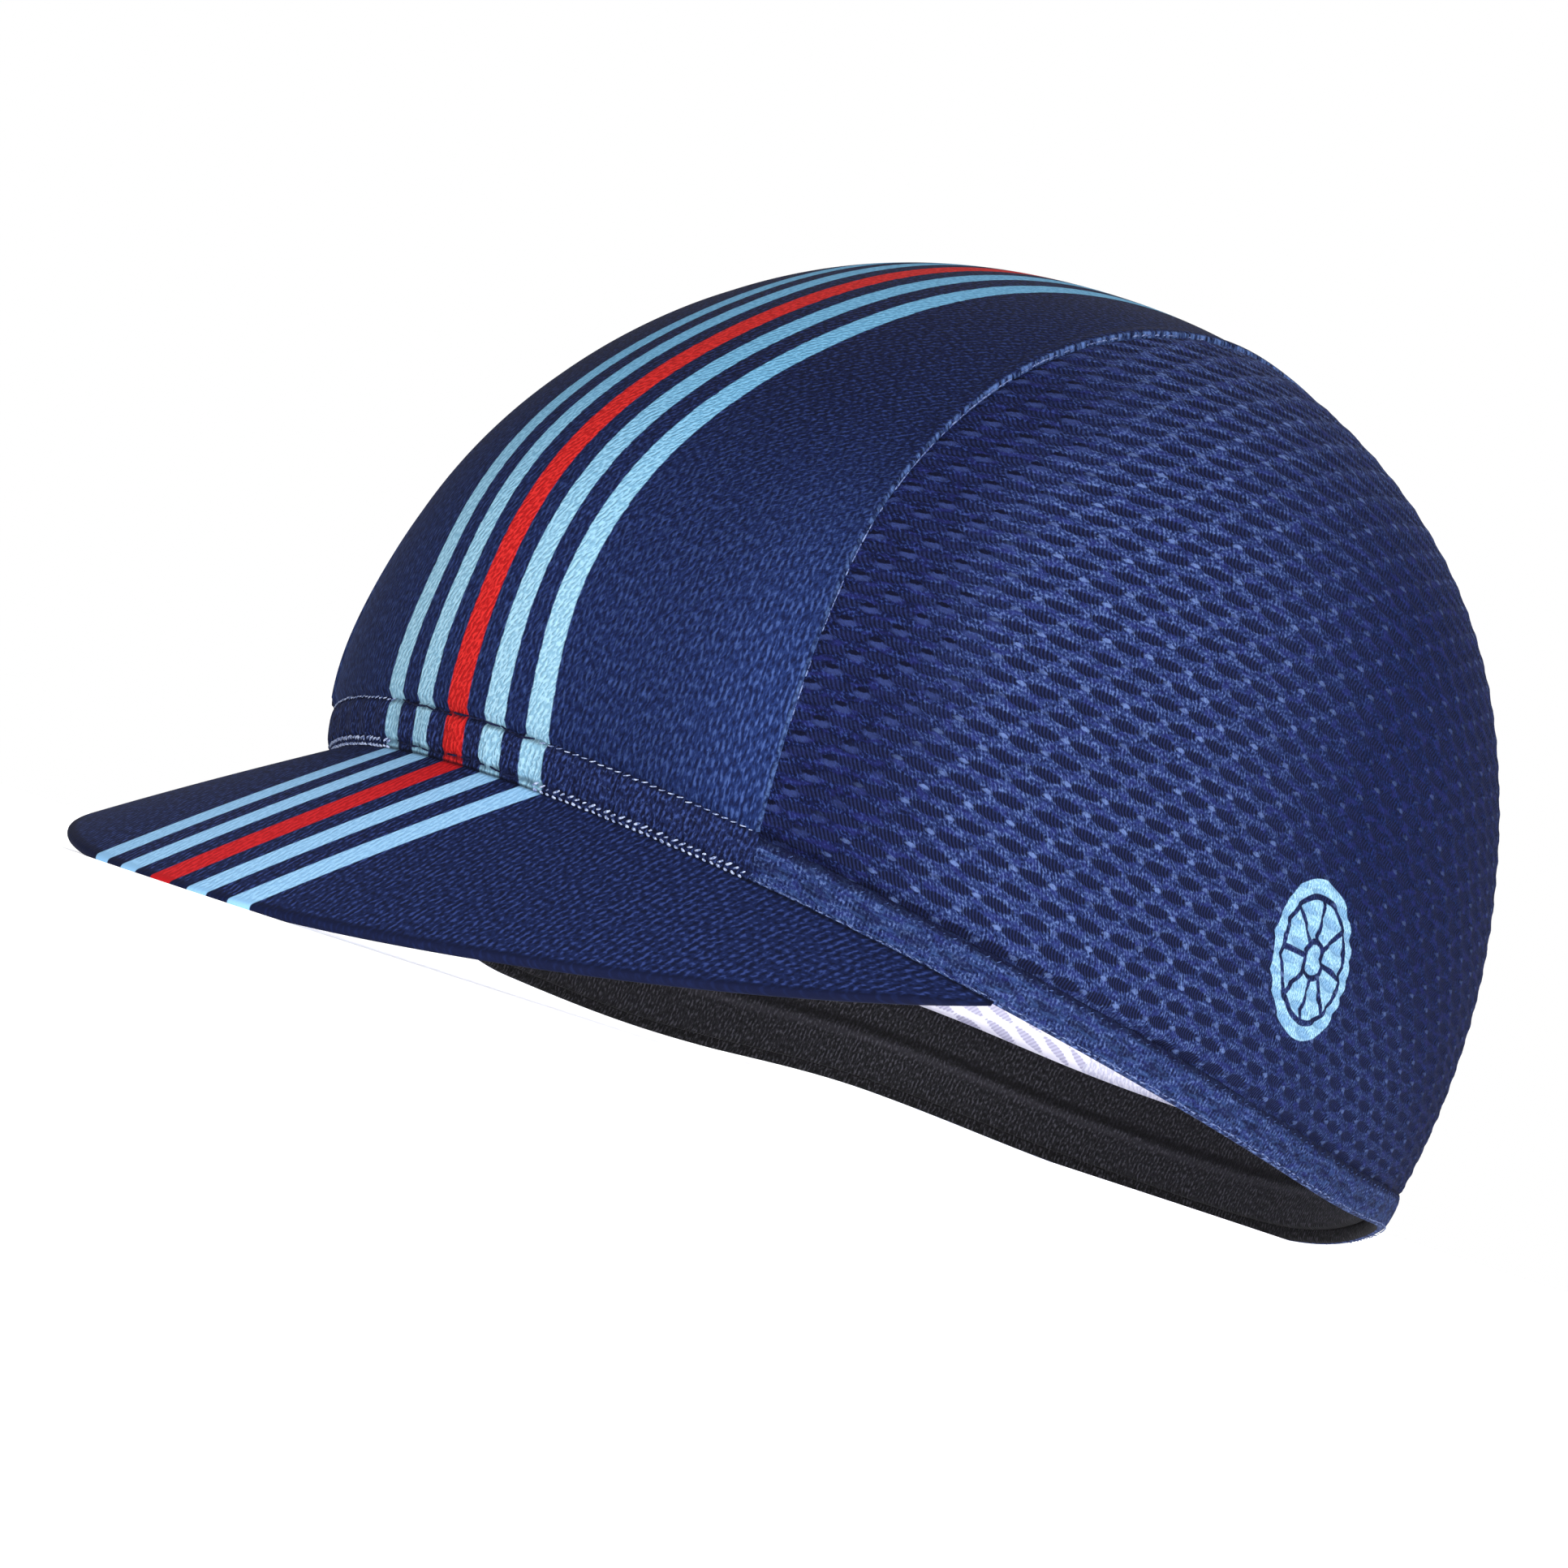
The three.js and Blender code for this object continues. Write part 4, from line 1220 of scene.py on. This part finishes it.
def band_knit_cloth():
    """Navy knit with stripes and pale specks, with painted shadow at its foot and painted shade along its
    rows of stitches.
    """
    cloth = Cloth("band_knit_cloth")
    u, v = cloth.place("cloth")
    height = knit_lines(cloth, u, v, BAND_KNIT)
    body = three_tones(cloth, height, BAND_TONES)
    body = cloth.mix(cloth.times(cloth.patches(u, v, BAND_FLECKS), 0.5), body, BAND_FLECK_TONE)
    shown = with_stripes(cloth, body, height, 0.0005, BLUE_LOW_TONES, RED_TONES)
    # Painted shadow at the band's foot
    shown = cloth.mix(cloth.times(cloth.smooth(v, *BAND_FOOT_SHADOW), 0.8), shown, BAND_FOOT_SHADOW_TONE)
    # Painted shade along the rows of stitches
    for share in BAND_STITCH_ROWS:
        line = cloth.smooth(cloth.distance(v, share * BAND_HEIGHT), *BAND_STITCH_SHADE)
        shown = cloth.mix(cloth.times(line, 0.6), shown, BAND_STITCH_SHADE_TONE)
    return cloth.finish(shown, height, BAND_KNIT["depth"])


def peak_twill():
    """Navy twill with stripes, plainer on the folded edge, with painted shadow at its root."""
    cloth = Cloth("peak_twill")
    u, v = cloth.place("cloth")
    to_edge, from_root = cloth.place("seam")
    edge = cloth.smooth(to_edge, *PEAK_EDGE)
    height = cloth.times(knit_lines(cloth, u, v, PEAK_TWILL), cloth.less(edge, 0.6))
    body = three_tones(cloth, height, PEAK_TONES)
    shown = with_stripes(cloth, body, height, 0.0001, PEAK_BLUE_TONES, PEAK_RED_TONES)
    # Painted shadow at the peak's root, under the band
    shown = cloth.mix(cloth.times(cloth.smooth(from_root, *PEAK_ROOT_SHADOW), 0.75), shown, PEAK_ROOT_SHADOW_TONE)
    return cloth.finish(shown, height, PEAK_TWILL["depth"])


def plain_inside_cloth():
    cloth = Cloth("plain_inside_cloth")
    u, v = cloth.place("cloth")
    height = knit_lines(cloth, u, v, INSIDE_KNIT)
    tone = cloth.smooth(height, 0.2, 0.8)
    return cloth.finish(cloth.mix(tone, *INSIDE_TONES), height, INSIDE_KNIT["depth"])


class Ovals:
    """Where a place lies among the mesh cloth's rows of ovals."""

    def __init__(self, cloth):
        self.cloth = cloth
        self.a, self.b = cloth.place("cloth")
        rows = cloth.over(self.b, OVAL_ROW_SPACING)
        row = cloth.math("ROUND", rows)
        odd = cloth.times(cloth.math("FLOORED_MODULO", row, 2.0), 0.5)
        cell = cloth.math("ADD", cloth.over(self.a, OVAL_SPACING), odd)
        off_cell = cloth.minus(cell, cloth.math("ROUND", cell))
        self.off_row = cloth.times(cloth.minus(rows, row), OVAL_ROW_SPACING)
        self.off_oval = cloth.times(off_cell, OVAL_SPACING)
        self.off_pad = cloth.times(cloth.minus(cloth.math("ABSOLUTE", off_cell), 0.5), OVAL_SPACING)
        self.threads = cloth.wave(cloth.over(self.a, THREAD_PITCH))
        self.grain = cloth.patches(self.a, self.b, GRAIN)
        ragged = cloth.plus(-0.65, cloth.noise(self.a, self.b, **RAGGED), 1.1)
        self.ragged = cloth.plus(ragged, self.threads, 0.2)

    def lens(self, off_a, mark):
        """1 inside a lens round the nearest oval or pad, 0 outside, with a ragged edge."""
        cloth = self.cloth
        off_b = cloth.math("ADD", self.off_row, mark["drop"])
        parts = []
        for off, size in ((off_a, mark["length"]), (off_b, mark["width"])):
            share = cloth.math("ABSOLUTE", cloth.over(off, size / 2))
            parts.append(cloth.math("POWER", share, MARK_ROUNDNESS))
        away = cloth.math("ADD", cloth.math("ADD", *parts), self.ragged)
        return cloth.smooth(away, MARK_EDGE, mark["sharp"])


def mesh_ground(cloth, ovals, seam_shade=0.0, back_shade=0.0):
    """Mottled blue with threads across the rows, with painted shade by the seam ahead and at the back."""
    broad = cloth.noise(ovals.a, ovals.b, **BROAD)
    height = cloth.plus(-0.34, broad, 0.8)
    height = cloth.plus(height, ovals.grain, 0.75)
    height = cloth.plus(height, ovals.threads, 0.2)
    body = three_tones(cloth, height, MESH_TONES)
    body = cloth.mix(seam_shade, body, three_tones(cloth, height, MESH_SEAM_SHADE_TONES))
    body = cloth.mix(back_shade, body, three_tones(cloth, height, MESH_BACK_SHADE_TONES))
    mottle = cloth.patches(ovals.a, ovals.b, MOTTLE)
    return cloth.mix(cloth.times(mottle, 0.35), body, MESH_MOTTLE_TONE), height


def side_mesh_cloth(name, with_disc):
    """The mesh cloth: dark ovals, painted highlights on the pads between them and, high up ahead by the
    seam, painted shadow as a narrow slit at each pad with painted light just below it.
    """
    cloth = Cloth(name)
    ovals = Ovals(cloth)
    to_seam, to_hem = cloth.place("seam")
    _, up = cloth.place("print")
    # Painted shade on the mesh by the seam ahead and at the back
    seam_shade = cloth.times(cloth.smooth(to_seam, *MESH_SEAM_SHADE_REACH), cloth.smooth(ovals.a, *MESH_SEAM_SHADE_AHEAD))
    back_shade = cloth.times(cloth.smooth(ovals.a, *MESH_BACK_SHADE),
                         cloth.plus(0.5, cloth.smooth(up, *MESH_BACK_SHADE_LOW), 0.5),
                         cloth.less(cloth.smooth(up, *MESH_BACK_SHADE_HIGH), 0.6))
    # Painted shadow in narrow slits between the ovals, with painted light just below, high up ahead by the
    # seam
    slit_shadows = cloth.times(cloth.smooth(to_seam, *SLIT_SHADOWS_BESIDE_SEAM), cloth.smooth(ovals.a, *SLIT_SHADOWS_AHEAD),
                        cloth.smooth(up, *SLIT_SHADOWS_UP))
    body, _ = mesh_ground(cloth, ovals, seam_shade, back_shade)
    lit_smudge = cloth.times(ovals.lens(ovals.off_pad, LIT_SMUDGE), cloth.times(slit_shadows, 0.8))
    body = cloth.mix(lit_smudge, body, MESH_LIT_SMUDGE_TONE)
    in_oval = ovals.lens(ovals.off_oval, OVAL)
    # The ovals fade in the painted shade at the back and where the slit shadows are painted
    fading = cloth.plus(cloth.less(back_shade, 0.3), slit_shadows, -0.25)
    shown = cloth.mix(cloth.times(in_oval, fading), body, cloth.mix(ovals.threads, *OVAL_TONES))
    # Painted highlights on the pads between the ovals, in patches, fewer by the seam and in the painted
    # shade at the back
    patchy = cloth.patches(ovals.a, ovals.b, PAD_HIGHLIGHT_PATCHES)
    patchy = cloth.times(patchy, cloth.less(cloth.smooth(to_seam, *NO_PAD_HIGHLIGHTS), 0.8))
    flecks_and_highlights = cloth.times(ovals.lens(ovals.off_pad, PAD_HIGHLIGHT), patchy,
                         cloth.minus(1.0, slit_shadows), cloth.less(back_shade, 0.7))
    shown = cloth.mix(flecks_and_highlights, shown, MESH_PAD_HIGHLIGHT_TONE)
    # Painted shadow in the slits
    shown = cloth.mix(cloth.times(ovals.lens(ovals.off_pad, SLIT_SHADOW), slit_shadows), shown, MESH_SLIT_SHADOW_TONE)
    # Painted shade in the groove above the hem, frayed by streaks
    streaks = cloth.noise(ovals.a, to_hem, **FOOT_SHADE_STREAKS)
    foot = cloth.smooth(cloth.math("MULTIPLY_ADD", streaks, MESH_FOOT_SHADE_STREAK, to_hem), *MESH_FOOT_SHADE)
    shown = cloth.mix(cloth.times(foot, 0.6), shown, MESH_FOOT_SHADE_TONE)
    if with_disc:
        shown = cloth.mix(disc_mask(cloth), shown, disc_colour(cloth, in_oval, ovals.grain))
    relief = cloth.plus(cloth.times(ovals.grain, 0.5), ovals.threads, 0.2)
    relief = cloth.plus(relief, in_oval, -0.5)
    return cloth.finish(shown, relief, MESH_DEPTH)


def hem_cloth():
    """The mesh cloth folded over: its ovals show faintly, with painted shade at the fold and a pale edge.
    """
    cloth = Cloth("hem_cloth")
    ovals = Ovals(cloth)
    u, v = ovals.a, ovals.b
    body, height = mesh_ground(cloth, ovals)
    streaks = cloth.patches(u, v, HEM_STREAKS)
    layers = (
        (ovals.lens(ovals.off_oval, OVAL), 0.5, HEM_OVAL_TONE),
        (streaks, 0.55, HEM_STREAK_TONE),
        (cloth.patches(v, u, HEM_DIPS), 0.6, HEM_DIP_TONE),
        # Painted shade at the fold
        (cloth.smooth(v, *HEM_FOLD_SHADE), 0.75, HEM_FOLD_SHADE_TONE),
        (cloth.smooth(v, *HEM_EDGE), cloth.patches(u, v, HEM_FLECKS), HEM_FLECK_TONE),
    )
    for mask, strength, tone in layers:
        body = cloth.mix(cloth.times(mask, strength), body, tone)
    shown = with_stripes(cloth, body, height, 0.0004, BLUE_TONES, RED_TONES)
    return cloth.finish(shown, cloth.math("ADD", height, streaks), HEM_DEPTH_OF_KNIT)


def disc_colour(cloth, in_oval, grain):
    light = cloth.mix(cloth.smooth(grain, 0.3, 0.7), *DISC_TONES)
    return cloth.mix(cloth.times(in_oval, 0.5), light, DISC_OVAL_TONE)


def disc_mask(cloth):
    """A plain wheel: a pale disc with a thin ring, spokes and a hub left open."""
    u, v = cloth.place("print")
    x = cloth.minus(u, DISC_PLACE[0])
    y = cloth.minus(v, DISC_PLACE[1])
    radius = cloth.math("SQRT", cloth.math("ADD", cloth.times(x, x), cloth.times(y, y)))
    turn = cloth.times(cloth.math("ARCTAN2", y, x), DISC_SPOKES / (2 * math.pi))
    off_turn = cloth.distance(turn, cloth.math("ROUND", turn))
    off_spoke = cloth.times(off_turn, radius, 2 * math.pi / DISC_SPOKES)

    def line(away):
        return cloth.smooth(away, DISC_LINE / 2 + DISC_EDGE, DISC_LINE / 2 - DISC_EDGE)

    past_hub = cloth.smooth(radius, DISC_HUB, DISC_HUB + DISC_EDGE)
    within_ring = cloth.smooth(radius, DISC_RING + DISC_EDGE, DISC_RING)
    spokes = cloth.times(line(off_spoke), cloth.times(past_hub, within_ring))
    rings = [line(cloth.distance(radius, ring)) for ring in (DISC_RING, DISC_HUB)]
    lines = cloth.math("MAXIMUM", cloth.math("MAXIMUM", *rings), spokes)
    inside = cloth.smooth(radius, DISC_RADIUS + DISC_EDGE, DISC_RADIUS - DISC_EDGE)
    return cloth.times(inside, cloth.minus(1.0, lines))


def side_inside_cloth():
    """The white inside of the mesh, whose ovals are grey."""
    cloth = Cloth("side_inside_cloth")
    ovals = Ovals(cloth)
    in_oval = ovals.lens(ovals.off_oval, OVAL_INSIDE)
    shown = cloth.mix(in_oval, MESH_INSIDE_TONE, cloth.mix(ovals.threads, *OVAL_INSIDE_TONES))
    height = cloth.plus(cloth.times(ovals.grain, 0.3), in_oval, -0.4)
    return cloth.finish(shown, height, MESH_INSIDE_DEPTH)


def black_elastic_cloth():
    """Knitted elastic, with painted shade in its groove and a painted highlight on the ridge below it."""
    cloth = Cloth("black_elastic_cloth")
    u, v = cloth.place("cloth")
    height = knit_lines(cloth, u, v, ELASTIC_KNIT)
    shown = three_tones(cloth, height, ELASTIC_TONES)
    groove_at = ELASTIC_GROOVE_AT * ELASTIC_HEIGHT
    groove = cloth.smooth(cloth.distance(v, groove_at), *ELASTIC_GROOVE_SHADE)
    ridge = cloth.smooth(cloth.distance(v, groove_at - RIDGE_BELOW_GROOVE), *ELASTIC_RIDGE_HIGHLIGHT)
    # Painted shade in the groove and a painted highlight on the ridge
    shown = cloth.mix(cloth.times(groove, 0.8), shown, GROOVE_SHADE_TONE)
    shown = cloth.mix(cloth.times(ridge, 0.3), shown, RIDGE_HIGHLIGHT_TONE)
    return cloth.finish(shown, height, ELASTIC_KNIT["depth"])


def thread(name):
    """Twisted thread with paler turns."""
    cloth = Cloth(f"{name}_thread", roughness=0.7)
    node = cloth.tree.nodes.new("ShaderNodeTexNoise")
    node.inputs["Scale"].default_value = THREAD_GRAINS_PER_METRE
    node.inputs["Detail"].default_value = 2
    place = cloth.tree.nodes.new("ShaderNodeTexCoord")
    cloth.tree.links.new(place.outputs["Object"], node.inputs["Vector"])
    shade = cloth.smooth(node.outputs[0], 0.35, 0.65)
    return cloth.finish(cloth.mix(shade, *THREAD_TONES[name]), node.outputs[0], THREAD_DEPTH)


# The surroundings


def floor():
    bpy.ops.mesh.primitive_plane_add(size=FLOOR_SIZE)
    plane = bpy.context.object
    plane.name = "floor"
    material = bpy.data.materials.new("floor_paper")
    material.use_nodes = True
    shader = material.node_tree.nodes["Principled BSDF"]
    shader.inputs["Base Color"].default_value = (0.92, 0.92, 0.92, 1)
    shader.inputs["Roughness"].default_value = 0.9
    shader.inputs["Specular IOR Level"].default_value = 0
    shader.inputs["Emission Color"].default_value = (1, 1, 1, 1)
    shader.inputs["Emission Strength"].default_value = FLOOR_GLOW
    plane.data.materials.append(material)


def sky():
    """Soft light from all round, in front of a white background."""
    world = bpy.data.worlds.new("studio")
    world.use_nodes = True
    nodes = world.node_tree.nodes
    background = nodes["Background"]
    background.inputs["Color"].default_value = (1, 1, 1, 1)
    path = nodes.new("ShaderNodeLightPath")
    strength = nodes.new("ShaderNodeMapRange")
    strength.inputs["To Min"].default_value = SKY_LIGHT
    strength.inputs["To Max"].default_value = 1.0
    world.node_tree.links.new(path.outputs["Is Camera Ray"], strength.inputs["Value"])
    world.node_tree.links.new(strength.outputs[0], background.inputs["Strength"])
    bpy.context.scene.world = world


def aimed(name, data, place, aim, roll=0.0):
    """Places a lamp or camera, turns it to its aim and rolls it clockwise by some degrees."""
    thing = bpy.data.objects.new(name, data)
    away = (Vector(place) - Vector(aim)).normalized()
    turn = away.to_track_quat("Z", "Y") @ Quaternion((0, 0, 1), math.radians(-roll))
    thing.location = place
    thing.rotation_euler = turn.to_euler()
    bpy.context.scene.collection.objects.link(thing)
    return thing


def sun(lamp):
    """A broad light from far away, by its azimuth from the front to the wearer's left."""
    light = bpy.data.lights.new(lamp["name"], "SUN")
    light.energy = lamp["strength"]
    light.angle = math.radians(lamp["softness"])
    turn = math.radians(lamp["azimuth"])
    rise = math.radians(lamp["elevation"])
    away = (math.sin(turn) * math.cos(rise), -math.cos(turn) * math.cos(rise), math.sin(rise))
    aimed(lamp["name"], light, away, (0, 0, 0))


def area_light(lamp):
    light = bpy.data.lights.new(lamp["name"], "AREA")
    light.shape = "RECTANGLE"
    light.size, light.size_y = lamp["size"]
    light.energy = lamp["power"]
    aimed(lamp["name"], light, lamp["place"], lamp["aim"]).visible_camera = False


def surroundings():
    floor()
    sky()
    for lamp in SUNS:
        sun(lamp)
    for lamp in AREA_LIGHTS:
        area_light(lamp)
    bpy.context.scene.view_settings.view_transform = "Standard"


def camera():
    data = bpy.data.cameras.new("camera")
    data.sensor_width = CAMERA_SENSOR
    data.lens = CAMERA_LENS
    data.clip_start = CAMERA_CLIP
    bpy.context.scene.camera = aimed("camera", data, CAMERA_PLACE, CAMERA_AIM, CAMERA_ROLL)


# The whole cap


def cap():
    white = side_inside_cloth()
    black = black_elastic_cloth()
    layout = SideLayout()
    centre_panel(plain_knit_cloth(), plain_inside_cloth())
    side_panel("left", 1, layout, side_mesh_cloth("side_mesh_left", True), white)
    side_panel("right", -1, layout, side_mesh_cloth("side_mesh_right", False), white)
    forehead_band(band_knit_cloth(), black)
    rim_hem(hem_cloth(), black)
    elastic_band(black)
    peak(peak_twill())
    sewing({name: thread(name) for name in THREAD_TONES})


camera()
surroundings()
cap()
